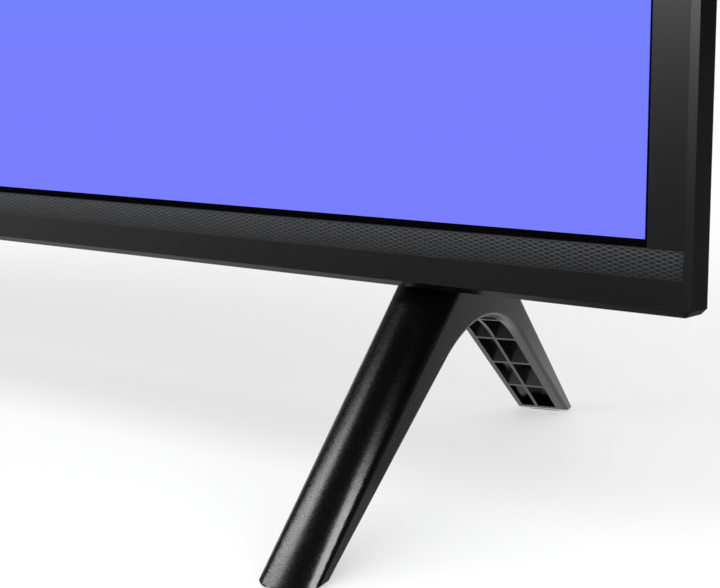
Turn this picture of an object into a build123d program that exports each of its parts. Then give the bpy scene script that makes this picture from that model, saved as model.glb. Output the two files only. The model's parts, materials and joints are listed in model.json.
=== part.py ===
import math
import os

from build123d import *

# Flat screen tv on two splayed legs. Millimetres, +Z up, the screen faces -Y.
# Origin: on the floor, under the middle of the stand.

# Screen
active_width = 697.7
active_height = 392.3
panel_thickness = 1.4
panel_cover = 4.0
border_side = 1.6
border_bottom = 1.7

# Cabinet rails, from the lit area to the outside
rail_side = 12.6
rail_bottom = 17.2
cabinet_bottom = 55.85

# Front bezel
bezel_depth = 9.1
bezel_skin = 1.6
bezel_wall = 1.8
bezel_chamfer = 1.5
snap_width = 14.0
snap_height = 2.4
snap_pitch = 92.0
snap_count = 7

# Trim strip in its seat under the screen
strip_height = 7.05
strip_thickness = 0.7
strip_sink = 0.1
strip_end_gap = 0.25

# Layers behind the glass
seat_gap = 0.3
ledge_thickness = 1.2
ledge_reach = 3.0
ring_width = 8.2
film_thickness = 0.3
film_count = 3
film_side_gap = 0.5
diffuser_thickness = 2.0
pan_sheet = 0.8
pan_depth = 18.0
pan_slope_run = 20.0
pan_flange = 5.0
reflector_sheet_thickness = 0.3

# Backlight
bar_length = 620.0
bar_width = 14.0
bar_thickness = 1.0
bar_pitch = 118.0
bar_count = 3
lens_radius = 7.0
lens_height = 5.0
lens_round = 3.5
lens_pitch = 82.0
lens_count = 8
lens_hole_gap = 1.0

# Rear cover
cover_wall = 2.2
cover_edge_inset = 0.8
cover_slope_run = 25.2
cover_upper_depth = 36.0
bulge_depth = 78.0
bulge_half_width = 318.0
bulge_top = 300.0
bulge_side_draft = 18.0
bulge_top_draft = 24.0
bulge_round = 8.0
vent_length = 24.0
vent_width = 3.0
vent_pitch = 9.5
vent_columns = 41
vent_row_pitch = 33.0
vent_middle_above_bulge = 62.0
low_vent_columns = 33
low_vent_height = 34.0
label_width = 58.0
label_height = 54.0
label_sink = 0.4

# Cover screws
screw_inset = 6.2
cover_boss_radius = 3.8
screw_head_radius = 2.9
screw_head_height = 2.0
screw_shank_radius = 1.45
screw_pilot_gap = 0.05
screw_well_gap = 0.35
boss_floor = 2.0
top_screw_pitch = 176.0
top_screw_count = 4
side_screw_pitch = 150.0
side_screw_count = 3
low_screw_reach = 334.0

# Socket bay in the bulge, and the smaller bay of the power inlet
bay_wall_x = 236.0
bay_low = 108.0
bay_high = 252.0
inlet_bay_low = 116.0
inlet_bay_high = 172.0

# Boards
board_thickness = 1.6
board_standoff = 11.2
board_edge_gap = 1.8
main_board_width = 132.0
main_board_height = 138.0
power_board_width = 124.0
board_low = 111.0
post_radius = 3.0
post_inset = 5.0
socket_side_inset = 26.0
board_screw_radius = 1.45
board_screw_head_radius = 2.7
board_screw_head_height = 1.8
board_screw_length = 7.0
short_screw_length = 3.8
timing_width = 120.0
timing_height = 36.0
timing_x = 110.0
timing_low = 303.0
timing_standoff = 2.4
timing_board_thickness = 1.2
cable_x = 126.0
cable_width = 24.0
cable_thickness = 0.4
cable_bend = 3.0
cable_straight = 12.0
connector_width = 27.0
connector_length = 8.0
connector_height = 2.4
processor_width = 30.0
memory_width = 10.0
memory_pitch = 15.0
tuner_width = 26.0
tuner_height = 8.0
heat_sink_width = 42.0
heat_sink_base = 2.0
heat_sink_height = 12.0
heat_sink_fins = 8
fin_thickness = 1.2
chip_height = 1.8
transformer_width = 40.0
transformer_height = 26.0
capacitor_radius = 9.0
capacitor_height = 24.0
capacitor_pitch = 24.0
coil_block_width = 22.0
coil_block_height = 20.0
wireless_width = 28.0
wireless_height = 18.0
wireless_x = -150.0
wireless_middle = 330.0
wireless_thickness = 1.0

# Sockets on the main board; widths run up the board
socket_face_sink = 0.2
window_gap = 0.3
hdmi_width = 15.2
hdmi_height = 6.2
hdmi_mouth_width = 14.0
hdmi_mouth_height = 4.7
hdmi_length = 12.0
hdmi_tongue_width = 11.0
hdmi_tongue_thickness = 0.9
usb_width = 13.6
usb_height = 7.0
usb_mouth_width = 12.4
usb_mouth_height = 5.2
usb_length = 14.0
usb_tongue_width = 11.2
usb_tongue_thickness = 1.9
network_width = 16.0
network_height = 13.4
network_mouth_width = 11.8
network_mouth_height = 8.6
network_length = 18.0
network_mouth_depth = 11.0
tongue_back = 2.2
mouth_depth = 9.0
jack_body = 10.0
jack_length = 12.0
jack_bore = 1.8
optical_bore = 2.3
aerial_body = 14.0
aerial_length = 15.0
aerial_barrel_radius = 4.75
aerial_bore = 4.1
aerial_barrel_length = 7.0
aerial_pin_radius = 1.0
socket_gap = 4.0

# Power inlet, figure-eight
inlet_width = 20.0
inlet_height = 11.0
inlet_length = 20.0
inlet_mouth_width = 16.4
inlet_mouth_height = 8.6
inlet_mouth_depth = 12.0
inlet_pin_radius = 1.2
inlet_pin_pitch = 8.6
inlet_pin_length = 10.0

# Wall mount
wall_mount_pitch = 100.0
wall_mount_middle = 200.0
mount_post_radius = 5.0
mount_bore_radius = 2.0
mount_bore_depth = 14.0
mount_post_sink = 1.0
mount_hole_gap = 0.3

# Speakers, firing down through slots
speaker_x = 168.0
speaker_depth = 49.0
speaker_box_width = 146.0
speaker_box_depth = 40.0
speaker_box_height = 38.0
speaker_box_wall = 2.0
driver_flange_width = 78.0
driver_flange_height = 34.0
driver_flange_thickness = 2.0
driver_hole_width = 66.0
driver_hole_height = 26.0
basket_wall = 1.5
basket_height = 11.0
cone_width = 60.0
cone_height = 20.0
cone_rise = 7.0
cone_thickness = 0.6
coil_radius = 6.9
coil_wall = 0.4
coil_length = 8.0
magnet_radius = 12.4
magnet_height = 7.0
magnet_back = 2.0
coil_gap = 0.5
surround_thickness = 1.4
surround_gap = 0.1
slot_count = 12
slot_pitch = 5.2
slot_width = 2.0
slot_length = 26.0

# Power button and its switch, facing down in the middle
button_depth = 30.0
button_width = 13.4
button_height = 7.4
button_gap = 0.3
button_proud = 1.1
button_flange = 1.8
button_flange_thickness = 1.2
button_stem_radius = 1.5
switch_stem_radius = 1.7
switch_stem_length = 3.4
switch_stem_gap = 0.05
switch_body = 6.2
switch_height = 3.4
switch_stem_proud = 1.15
switch_roof = 0.3
key_board_rise = 11.4
key_board_width = 36.0
key_board_height = 14.0
key_post_radius = 2.6
key_post_pitch = 28.0

# Remote receiver behind the lower band
window_width = 15.0
window_height = 3.6
window_thickness = 1.9
window_rise = 4.1
receiver_board_width = 26.0
receiver_board_height = 5.6
receiver_board_thickness = 1.2
receiver_board_depth = 6.9
sensor_width = 6.0
sensor_height = 5.0
sensor_depth = 2.8

# Leg, in its own upright plane: s runs from the front foot to the rear foot,
# w runs inwards from the outer side
leg_yaw = 16.07
foot_inset = 51.28
foot_ahead = 64.7
leg_span = 187.96
front_slope = 26.5
rear_slope = 33.7
arch_radius = 66.0
front_toe = 5.81
front_edge_slope = 30.4
rear_toe = 4.85
rear_edge_slope = 37.3
front_foot_width = 14.53
rear_foot_width = 16.16
leg_top_width = 17.7
front_crown_foot = 4.83
front_crown_top = 12.4
rear_crown_foot = 2.91
rear_crown_top = 7.0
leg_outer_wall = 3.4
leg_inner_wall = 1.6
leg_skin_run = 3.4
channel_crown_share = 0.8
channel_floor = 1.8
channel_roof = 50.85
apex_start = 86.6
apex_end = 121.6
rib_thickness = 1.0
rib_pitch = 15.0
front_rib_start = 22.6
front_rib_count = 5
rear_rib_start = 126.4
rear_rib_count = 4
arch_edge_round = 1.1
foot_edge_chamfer = 0.4
tongue_start = 89.6
tongue_length = 26.0
tongue_width = 10.6
tongue_height = 14.0
leg_screw_pitch = 12.6
leg_screw_radius = 2.0
leg_screw_gap = 0.2
leg_screw_head_radius = 3.8
leg_screw_head_height = 2.6
leg_screw_well_gap = 0.4
leg_screw_seat = 49.85
leg_screw_length = 26.0
bracket_sheet = 2.0
bracket_side_drop = 9.0
bracket_tab_width = 36.0
bracket_tab_height = 64.0
bracket_thread_gap = 0.05

# Foot pads
pad_thickness = 1.0
pad_proud = 0.5
pad_round = 2.0
front_pad_length = 7.0
front_pad_width = 9.2
rear_pad_length = 5.0
rear_pad_width = 11.0
pad_gap = 0.05

# One overrun serves every cut
overrun = 3.0

# Degrees in a right angle
quarter = 90

# Worked out from the sizes above
cabinet_width = active_width + 2 * rail_side
cabinet_height = active_height + rail_side + rail_bottom
cabinet_middle = cabinet_bottom + cabinet_height / 2
cabinet_top = cabinet_bottom + cabinet_height
screen_bottom = cabinet_bottom + rail_bottom
opening_width = active_width + 2 * border_side
opening_height = active_height + border_side + border_bottom
opening_low = screen_bottom - border_bottom
opening_middle = opening_low + opening_height / 2

panel_face = bezel_skin + seat_gap
panel_back = panel_face + panel_thickness
ledge_face = panel_back + seat_gap
ledge_back = ledge_face + ledge_thickness
film_face = ledge_back + seat_gap
diffuser_face = film_face + film_count * film_thickness + seat_gap
diffuser_back = diffuser_face + diffuser_thickness
flange_face = diffuser_back + seat_gap
pan_back = flange_face + pan_depth
pan_floor = pan_back - pan_sheet
pan_side = pan_sheet * math.hypot(pan_slope_run, pan_depth) / pan_depth
cover_face = bezel_depth + seat_gap

frame_width = cabinet_width - 2 * (bezel_wall + seat_gap)
frame_height = cabinet_height - 2 * (bezel_wall + seat_gap)
stack_width = frame_width - 2 * (ring_width + film_side_gap)
stack_height = frame_height - 2 * (ring_width + film_side_gap)

board_face = pan_back + board_standoff
board_back = board_face + board_thickness
board_middle = board_low + main_board_height / 2
board_outer = bay_wall_x - cover_wall - board_edge_gap
main_board_x = board_outer - main_board_width / 2
power_board_x = -(board_outer - power_board_width / 2)
timing_face = pan_back + timing_standoff
socket_front = bay_wall_x - socket_face_sink

receiver_board_low = cabinet_bottom + bezel_wall + seat_gap
cover_floor = cabinet_bottom + cover_wall
key_board_level = cover_floor + key_board_rise
switch_level = key_board_level - switch_height
button_top = cover_floor + seat_gap + button_flange_thickness


def spread(slope, height):
    """Run of a slope over a height."""
    return height / math.tan(math.radians(slope))


def between(foot_value, top_value, height):
    """A leg's measure at a height, from its values at the foot and at the top."""
    return foot_value + (top_value - foot_value) * height / cabinet_bottom


def front_edge(height):
    """s of the flat side's front edge at a height."""
    return -front_toe + spread(front_edge_slope, height)


def rear_edge(height):
    return leg_span + rear_toe - spread(rear_edge_slope, height)


def leg_reach(edge_s, width, crown, way):
    """Y reach of a foot's rounded end from the leg's own origin; way is -1 to the front, 1 to the rear."""
    cosine = math.cos(math.radians(leg_yaw))
    sine = math.sin(math.radians(leg_yaw))
    return edge_s * cosine - width / 2 * sine + way * math.hypot(crown * cosine, width / 2 * sine)


# The bezel's front plane lies ahead of the middle of the stand
stand_front = leg_reach(front_edge(pad_proud), between(front_foot_width, leg_top_width, pad_proud),
                        between(front_crown_foot, front_crown_top, pad_proud), -1)
stand_rear = leg_reach(rear_edge(pad_proud), between(rear_foot_width, leg_top_width, pad_proud),
                       between(rear_crown_foot, rear_crown_top, pad_proud), 1)
front_y = foot_ahead - (stand_front + stand_rear) / 2
leg_x = cabinet_width / 2 - foot_inset
leg_y = front_y - foot_ahead
along = (-math.sin(math.radians(leg_yaw)), math.cos(math.radians(leg_yaw)), 0)
outward = (math.cos(math.radians(leg_yaw)), math.sin(math.radians(leg_yaw)), 0)


def layer(depth):
    """Upright sketch plane at a depth behind the bezel's front: sketches read x and z."""
    return Plane(origin=(0, front_y + depth, 0), x_dir=(1, 0, 0), z_dir=(0, -1, 0))


def leg_side():
    """The right leg's outer side: sketches read s and z, minus extrudes go inwards."""
    return Plane(origin=(leg_x, leg_y, 0), x_dir=along, z_dir=outward)


def leg_level(height):
    """A level of the right leg: sketches read s and w."""
    return Plane(origin=(leg_x, leg_y, height), x_dir=along, z_dir=(0, 0, 1))


def save(piece, label):
    piece.part.label = label
    export_step(piece.part, f"parts/{label}.step")


def slab(width, height, middle, depth, thickness, x=0):
    """A flat upright plate."""
    with BuildPart() as plate:
        with BuildSketch(layer(depth)):
            with Locations((x, middle)):
                Rectangle(width, height)
        extrude(amount=-thickness)
    return plate


# Front of the set

def make_front_bezel():
    with BuildPart() as bezel:
        with BuildSketch(layer(0)):
            with Locations((0, cabinet_middle)):
                Rectangle(cabinet_width, cabinet_height)
        extrude(amount=-bezel_depth)
        rims = bezel.faces().sort_by(Axis.Y)[0].edges() + bezel.edges().filter_by(Axis.Y)
        chamfer(rims, length=bezel_chamfer)
        with BuildSketch(layer(bezel_skin)):
            with Locations((0, cabinet_middle)):
                Rectangle(cabinet_width - 2 * bezel_wall, cabinet_height - 2 * bezel_wall)
        extrude(amount=-bezel_depth, mode=Mode.SUBTRACT)
        with BuildSketch(layer(-overrun)):
            with Locations((0, opening_middle)):
                Rectangle(opening_width, opening_height)
        extrude(amount=-(bezel_skin + 2 * overrun), mode=Mode.SUBTRACT)
        with BuildSketch(layer(-overrun)):
            with Locations((0, opening_low)):
                Rectangle(cabinet_width - 2 * bezel_chamfer, strip_height, align=(Align.CENTER, Align.MAX))
        extrude(amount=-(overrun + strip_sink + strip_thickness), mode=Mode.SUBTRACT)
        with BuildSketch(layer(-overrun)):
            with Locations((0, cabinet_bottom + window_rise)):
                SlotOverall(window_width, window_height)
        extrude(amount=-(bezel_skin + 2 * overrun), mode=Mode.SUBTRACT)
        for side in (-1, 1):
            snap_z = cabinet_middle + side * (cabinet_height / 2 - bezel_wall)
            with BuildSketch(layer(bezel_skin)):
                with Locations((0, snap_z)):
                    with GridLocations(snap_pitch, snap_height, snap_count, 1):
                        Rectangle(snap_width, 2 * seat_gap)
            extrude(amount=-snap_height)
    return bezel


def make_trim_strip():
    """The textured strip's carrier; it fills its seat from end to end."""
    length = cabinet_width - 2 * (bezel_chamfer + strip_end_gap)
    return slab(length, strip_height - strip_end_gap, opening_low - (strip_height + strip_end_gap) / 2,
                strip_sink, strip_thickness)


def make_receiver_window():
    with BuildPart() as window:
        with BuildSketch(layer(strip_sink)):
            with Locations((0, cabinet_bottom + window_rise)):
                SlotOverall(window_width - 2 * screw_pilot_gap, window_height - 2 * screw_pilot_gap)
        extrude(amount=-window_thickness)
    return window


def make_receiver_board():
    return slab(receiver_board_width, receiver_board_height, receiver_board_low + receiver_board_height / 2,
                receiver_board_depth, receiver_board_thickness)


def make_receiver_sensor():
    return slab(sensor_width, sensor_height, receiver_board_low + receiver_board_height / 2,
                receiver_board_depth - sensor_depth, sensor_depth)


# Layers behind the glass

def make_lcd_panel():
    return slab(opening_width + 2 * panel_cover, opening_height + 2 * panel_cover, opening_middle,
                panel_face, panel_thickness)


def make_middle_frame():
    with BuildPart() as ring:
        with BuildSketch(layer(ledge_face)):
            with Locations((0, cabinet_middle)):
                Rectangle(frame_width, frame_height)
        extrude(amount=-(bezel_depth - ledge_face))
        with BuildSketch(layer(ledge_back)):
            with Locations((0, cabinet_middle)):
                Rectangle(frame_width - 2 * ring_width, frame_height - 2 * ring_width)
        extrude(amount=-bezel_depth, mode=Mode.SUBTRACT)
        with BuildSketch(layer(ledge_face - overrun)):
            with Locations((0, opening_middle)):
                Rectangle(opening_width + 2 * (panel_cover - ledge_reach),
                          opening_height + 2 * (panel_cover - ledge_reach))
        extrude(amount=-(ledge_thickness + 2 * overrun), mode=Mode.SUBTRACT)
        with BuildSketch(layer(ledge_face - overrun)):
            with Locations((0, cabinet_bottom)):
                Rectangle(receiver_board_width + 2 * seat_gap,
                          2 * (receiver_board_low + receiver_board_height + seat_gap - cabinet_bottom))
        extrude(amount=-(bezel_depth + overrun), mode=Mode.SUBTRACT)
        with BuildSketch(layer(bezel_depth + overrun)):
            with Locations(*cover_screw_places()):
                Circle(screw_shank_radius + screw_pilot_gap)
        extrude(amount=bezel_depth + overrun - ledge_back, mode=Mode.SUBTRACT)
    return ring


def make_optical_films():
    with BuildPart() as films:
        for sheet in range(film_count):
            with BuildSketch(layer(film_face + sheet * film_thickness)):
                with Locations((0, cabinet_middle)):
                    Rectangle(stack_width, stack_height)
            extrude(amount=-(film_thickness - screw_pilot_gap))
    return films


def make_diffuser_plate():
    return slab(stack_width, stack_height, cabinet_middle, diffuser_face, diffuser_thickness)


def tray_block(face, back, width, height, run):
    """A block that narrows by run on each side from its face to its back."""
    with BuildPart() as block:
        with BuildSketch(layer(face)):
            with Locations((0, cabinet_middle)):
                Rectangle(width, height)
        with BuildSketch(layer(back)):
            with Locations((0, cabinet_middle)):
                Rectangle(width - 2 * run, height - 2 * run)
        loft(ruled=True)
    return block.part


def lens_grid():
    return GridLocations(lens_pitch, bar_pitch, lens_count, bar_count)


def board_corners(low_x, high_x, low_z, high_z):
    """Screw places near a board's four corners."""
    return [(x, z) for x in (low_x, high_x) for z in (low_z + post_inset, high_z - post_inset)]


def main_corners():
    return board_corners(board_outer - main_board_width + post_inset, board_outer - socket_side_inset,
                         board_low, board_low + main_board_height)


def power_corners():
    return board_corners(-board_outer + post_inset, -board_outer + power_board_width - post_inset,
                         board_low, board_low + main_board_height)


def timing_corners():
    reach = timing_width / 2 - post_inset
    return board_corners(timing_x - reach, timing_x + reach, timing_low, timing_low + timing_height)


def bracket_holes():
    """Two holes up each leg bracket's tab, on both sides."""
    low = leg_bracket_tab_low() + bracket_tab_height / 2
    return [(side * leg_bracket_x(), low + step * bracket_tab_height / 4)
            for side in (-1, 1) for step in (0, 1)]


def make_back_pan():
    width = stack_width - 2 * pan_flange
    height = stack_height - 2 * pan_flange
    outside = tray_block(flange_face, pan_back, width, height, pan_slope_run)
    ahead = overrun * pan_slope_run / pan_depth - pan_side
    inside = tray_block(flange_face - overrun, pan_floor, width + 2 * ahead, height + 2 * ahead,
                        (overrun + pan_depth - pan_sheet) * pan_slope_run / pan_depth)
    with BuildPart() as pan:
        add(outside)
        with BuildSketch(layer(flange_face)):
            with Locations((0, cabinet_middle)):
                Rectangle(stack_width, stack_height)
        extrude(amount=-pan_sheet)
        add(inside, mode=Mode.SUBTRACT)
        with BuildSketch(layer(pan_back)):
            with Locations(*(main_corners() + power_corners())):
                Circle(post_radius)
        extrude(amount=-board_standoff)
        with BuildSketch(layer(pan_back)):
            with Locations(*timing_corners()):
                Circle(post_radius)
        extrude(amount=-timing_standoff)
        with BuildSketch(layer(board_face)):
            with Locations(*(main_corners() + power_corners())):
                Circle(board_screw_radius + screw_pilot_gap)
        extrude(amount=board_screw_length, mode=Mode.SUBTRACT)
        with BuildSketch(layer(timing_face)):
            with Locations(*(timing_corners() + bracket_holes())):
                Circle(board_screw_radius + screw_pilot_gap)
        extrude(amount=short_screw_length, mode=Mode.SUBTRACT)
    return pan


def make_reflector():
    back = pan_floor - bar_thickness - seat_gap
    ratio = pan_slope_run / pan_depth
    run = (back - flange_face) * ratio
    inset = pan_flange + pan_side + seat_gap
    width = stack_width - 2 * inset
    height = stack_height - 2 * inset
    inner = reflector_sheet_thickness
    outside = tray_block(flange_face, back, width, height, run)
    inside = tray_block(flange_face - inner, back - inner, width - 2 * inner, height - 2 * inner, run)
    with BuildPart() as reflector:
        add(outside)
        add(inside, mode=Mode.SUBTRACT)
        with BuildSketch(layer(back + overrun)):
            with Locations((0, cabinet_middle)):
                with lens_grid():
                    Circle(lens_radius + lens_hole_gap)
        extrude(amount=lens_height + overrun, mode=Mode.SUBTRACT)
    return reflector


def make_led_bars():
    with BuildPart() as bars:
        with BuildSketch(layer(pan_floor)):
            with Locations((0, cabinet_middle)):
                with GridLocations(bar_length, bar_pitch, 1, bar_count):
                    Rectangle(bar_length, bar_width)
        extrude(amount=bar_thickness)
    return bars


def make_led_lenses():
    with BuildPart() as lenses:
        with BuildSketch(layer(pan_floor - bar_thickness)):
            with Locations((0, cabinet_middle)):
                with lens_grid():
                    Circle(lens_radius)
        extrude(amount=lens_height)
        fillet(lenses.faces().group_by(Axis.Y)[0].edges(), radius=lens_round)
    return lenses


# Rear cover

def cover_screw_places():
    """All the cover's screws, just inside the outline."""
    across = cabinet_width / 2 - screw_inset
    top = cabinet_top - screw_inset
    bottom = cabinet_bottom + screw_inset
    spots = [(top_screw_pitch * (i - (top_screw_count - 1) / 2), top) for i in range(top_screw_count)]
    for side in (-1, 1):
        spots += [(side * across, cabinet_middle + side_screw_pitch * (i - (side_screw_count - 1) / 2))
                  for i in range(side_screw_count)]
        spots.append((side * low_screw_reach, bottom))
    return spots


def shell_block(face, back, low, high, half, half_back, high_back, low_back, rounding=0):
    """A block between two upright rectangles, each given by half width, low and high."""
    with BuildPart() as block:
        with BuildSketch(layer(face)):
            with Locations((0, (low + high) / 2)):
                Rectangle(2 * half, high - low)
        with BuildSketch(layer(back)):
            with Locations((0, (low_back + high_back) / 2)):
                Rectangle(2 * half_back, high_back - low_back)
        loft(ruled=True)
        if rounding > 0:
            back_rims = block.faces().sort_by(Axis.Y)[-1].edges()
            top_sides = block.faces().sort_by(Axis.Z)[-1].edges().filter_by(
                lambda rim: abs(rim.center().X) > half_back / 2)
            fillet(back_rims + top_sides, radius=rounding)
    return block.part


def cover_form(skin):
    """The cover's outer form for skin 0, and the space inside it for its wall thickness."""
    lead = overrun if skin > 0 else 0
    rate = cover_slope_run / (cover_upper_depth - cover_face)
    inset = cover_edge_inset + skin * math.hypot(1, rate) - lead * rate
    edge = cabinet_width / 2 - inset
    low = cabinet_bottom + inset
    high = cabinet_top - inset
    run = rate * (cover_upper_depth - skin - cover_face + lead)
    upper = shell_block(cover_face - lead, cover_upper_depth - skin, low, high, edge, edge - run, high - run,
                        low + run)
    side_rate = bulge_side_draft / (bulge_depth - cover_face)
    top_rate = bulge_top_draft / (bulge_depth - cover_face)
    half = bulge_half_width - skin * math.hypot(1, side_rate) + lead * side_rate
    top = bulge_top - skin * math.hypot(1, top_rate) + lead * top_rate
    depth = bulge_depth - skin - cover_face + lead
    floor = cabinet_bottom + skin
    bulge = shell_block(cover_face - lead, bulge_depth - skin, floor, top, half, half - side_rate * depth,
                        top - top_rate * depth, floor, rounding=bulge_round - skin / 2)
    with BuildPart() as form:
        add(upper)
        add(bulge)
        for side, low_wall, high_wall in ((1, bay_low, bay_high), (-1, inlet_bay_low, inlet_bay_high)):
            with BuildSketch(layer(cover_upper_depth - skin)):
                with Locations((side * (bay_wall_x - skin), (low_wall + high_wall) / 2)):
                    Rectangle(bulge_half_width, high_wall - low_wall + 2 * skin,
                              align=(Align.MIN if side > 0 else Align.MAX, Align.CENTER))
            extrude(amount=-bulge_depth, mode=Mode.SUBTRACT)
    return form.part


def make_rear_cover():
    outer = cover_form(0)
    inner = cover_form(cover_wall)
    windows = make_socket_windows()
    tongue_holes = make_leg_tongue_holes()
    with BuildPart() as bosses:
        with BuildSketch(layer(cover_face)):
            with Locations(*cover_screw_places()):
                Circle(cover_boss_radius)
        extrude(amount=-(cover_upper_depth - cover_face))
        add(outer, mode=Mode.INTERSECT)
    with BuildPart() as cover:
        add(outer)
        add(inner, mode=Mode.SUBTRACT)
        add(bosses.part)
        with BuildSketch(layer(cover_face - overrun)):
            with Locations(*cover_screw_places()):
                Circle(screw_shank_radius + screw_well_gap)
        extrude(amount=-(cover_upper_depth + overrun), mode=Mode.SUBTRACT)
        with BuildSketch(layer(cover_face + boss_floor)):
            with Locations(*cover_screw_places()):
                Circle(screw_head_radius + screw_well_gap)
        extrude(amount=-cover_upper_depth, mode=Mode.SUBTRACT)
        vent_middle = bulge_top + vent_middle_above_bulge
        with BuildSketch(layer(cover_upper_depth - cover_wall - overrun)):
            with Locations((0, vent_middle)):
                with GridLocations(vent_pitch, vent_row_pitch, vent_columns, 2):
                    SlotOverall(vent_length, vent_width, rotation=quarter)
        extrude(amount=-(cover_wall + 2 * overrun), mode=Mode.SUBTRACT)
        with BuildSketch(layer(bulge_depth - cover_wall - overrun)):
            with Locations((0, cabinet_bottom + low_vent_height)):
                with GridLocations(vent_pitch, vent_row_pitch, low_vent_columns, 1):
                    SlotOverall(vent_length, vent_width, rotation=quarter)
        extrude(amount=-(cover_wall + 2 * overrun), mode=Mode.SUBTRACT)
        with BuildSketch(Plane.XY.offset(cabinet_bottom - overrun)):
            for side in (-1, 1):
                with Locations((side * speaker_x, front_y + speaker_depth)):
                    with GridLocations(slot_pitch, slot_length, slot_count, 1):
                        SlotOverall(slot_length, slot_width, rotation=quarter)
            with Locations((0, front_y + button_depth)):
                Rectangle(button_width + 2 * button_gap, button_height + 2 * button_gap)
        extrude(amount=cover_wall + 2 * overrun, mode=Mode.SUBTRACT)
        with BuildSketch(layer(bulge_depth - cover_wall - overrun)):
            with Locations((0, wall_mount_middle)):
                with GridLocations(wall_mount_pitch, wall_mount_pitch, 2, 2):
                    Circle(mount_post_radius + mount_hole_gap)
        extrude(amount=-(cover_wall + 2 * overrun), mode=Mode.SUBTRACT)
        with BuildSketch(layer(bulge_depth - label_sink)):
            with Locations((0, wall_mount_middle)):
                Rectangle(label_width, label_height)
        extrude(amount=-overrun, mode=Mode.SUBTRACT)
        with BuildSketch(Plane.XY.offset(cover_floor)):
            with Locations((0, front_y + button_depth)):
                with GridLocations(key_post_pitch, key_post_radius, 2, 1):
                    Circle(key_post_radius)
        extrude(amount=key_board_rise)
        with BuildSketch(Plane.XY.offset(key_board_level)):
            with Locations((0, front_y + button_depth)):
                with GridLocations(key_post_pitch, key_post_radius, 2, 1):
                    Circle(board_screw_radius + screw_pilot_gap)
        extrude(amount=-board_screw_length, mode=Mode.SUBTRACT)
        add(tongue_holes, mode=Mode.SUBTRACT)
        add(windows, mode=Mode.SUBTRACT)
    return cover


def make_leg_tongue_holes():
    """Room for both legs' tongues in the cover's floor."""
    with BuildPart() as holes:
        with BuildSketch(leg_level(cabinet_bottom - overrun)):
            with Locations((tongue_start + tongue_length / 2, leg_outer_wall + tongue_width / 2)):
                Rectangle(tongue_length + 2 * window_gap, tongue_width + 2 * window_gap)
        extrude(amount=cover_wall + 2 * overrun)
        mirror(about=Plane.YZ)
    return holes.part


# Sockets, all facing out of the bay's side wall

socket_widths = [hdmi_width, hdmi_width, usb_width, usb_width, network_width, jack_body, jack_body,
                 aerial_body]
socket_heights = [hdmi_height, hdmi_height, usb_height, usb_height, network_height, jack_body, jack_body,
                  aerial_body]


def socket_place(index):
    """Height of a socket's middle; the row fills the bay evenly from its foot."""
    row = sum(socket_widths) + socket_gap * (len(socket_widths) - 1)
    start = (bay_low + bay_high - row) / 2
    return start + sum(socket_widths[:index]) + index * socket_gap + socket_widths[index] / 2


def bay_plane(x):
    """Plane across the board's end: sketches read depth behind the board and z."""
    return Plane(origin=(x, front_y + board_back, 0), x_dir=(0, 1, 0), z_dir=(1, 0, 0))


def make_socket_windows():
    with BuildPart() as windows:
        with BuildSketch(bay_plane(bay_wall_x + overrun)):
            for index, (width, height) in enumerate(zip(socket_widths, socket_heights)):
                with Locations((height / 2, socket_place(index))):
                    Rectangle(height + 2 * window_gap, width + 2 * window_gap)
        extrude(amount=-(cover_wall + 2 * overrun))
        with BuildSketch(bay_plane(-bay_wall_x - overrun)):
            with Locations((inlet_height / 2, inlet_place())):
                Rectangle(inlet_height + 2 * window_gap, inlet_width + 2 * window_gap)
        extrude(amount=cover_wall + 2 * overrun)
    return windows.part


def make_tongue_sockets(places, body, mouth, tongue, length):
    """Box sockets with a mouth and a contact tongue; body, mouth and tongue are (width, height)."""
    with BuildPart() as sockets:
        for place in places:
            with BuildSketch(bay_plane(socket_front)):
                with Locations((body[1] / 2, place)):
                    Rectangle(body[1], body[0])
            extrude(amount=-length)
            with BuildSketch(bay_plane(socket_front + overrun)):
                with Locations((body[1] / 2, place)):
                    Rectangle(mouth[1], mouth[0])
            extrude(amount=-(mouth_depth + overrun), mode=Mode.SUBTRACT)
            with BuildSketch(bay_plane(socket_front - tongue_back)):
                with Locations((body[1] / 2, place)):
                    Rectangle(tongue[1], tongue[0])
            extrude(amount=-(mouth_depth - tongue_back))
    return sockets


def make_hdmi_sockets():
    return make_tongue_sockets([socket_place(0), socket_place(1)], (hdmi_width, hdmi_height),
                               (hdmi_mouth_width, hdmi_mouth_height),
                               (hdmi_tongue_width, hdmi_tongue_thickness), hdmi_length)


def make_usb_sockets():
    return make_tongue_sockets([socket_place(2), socket_place(3)], (usb_width, usb_height),
                               (usb_mouth_width, usb_mouth_height),
                               (usb_tongue_width, usb_tongue_thickness), usb_length)


def make_network_socket():
    with BuildPart() as socket:
        with BuildSketch(bay_plane(socket_front)):
            with Locations((network_height / 2, socket_place(4))):
                Rectangle(network_height, network_width)
        extrude(amount=-network_length)
        with BuildSketch(bay_plane(socket_front + overrun)):
            with Locations((network_height / 2, socket_place(4))):
                Rectangle(network_mouth_height, network_mouth_width)
            with Locations((network_height / 2 + network_mouth_height / 2, socket_place(4))):
                Rectangle(network_mouth_height / 3, network_mouth_width / 2)
        extrude(amount=-(network_mouth_depth + overrun), mode=Mode.SUBTRACT)
    return socket


def make_jack(index, bore):
    with BuildPart() as jack:
        with BuildSketch(bay_plane(socket_front)):
            with Locations((jack_body / 2, socket_place(index))):
                Rectangle(jack_body, jack_body)
        extrude(amount=-jack_length)
        with BuildSketch(bay_plane(socket_front + overrun)):
            with Locations((jack_body / 2, socket_place(index))):
                Circle(bore)
        extrude(amount=-(mouth_depth + overrun), mode=Mode.SUBTRACT)
    return jack


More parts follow.
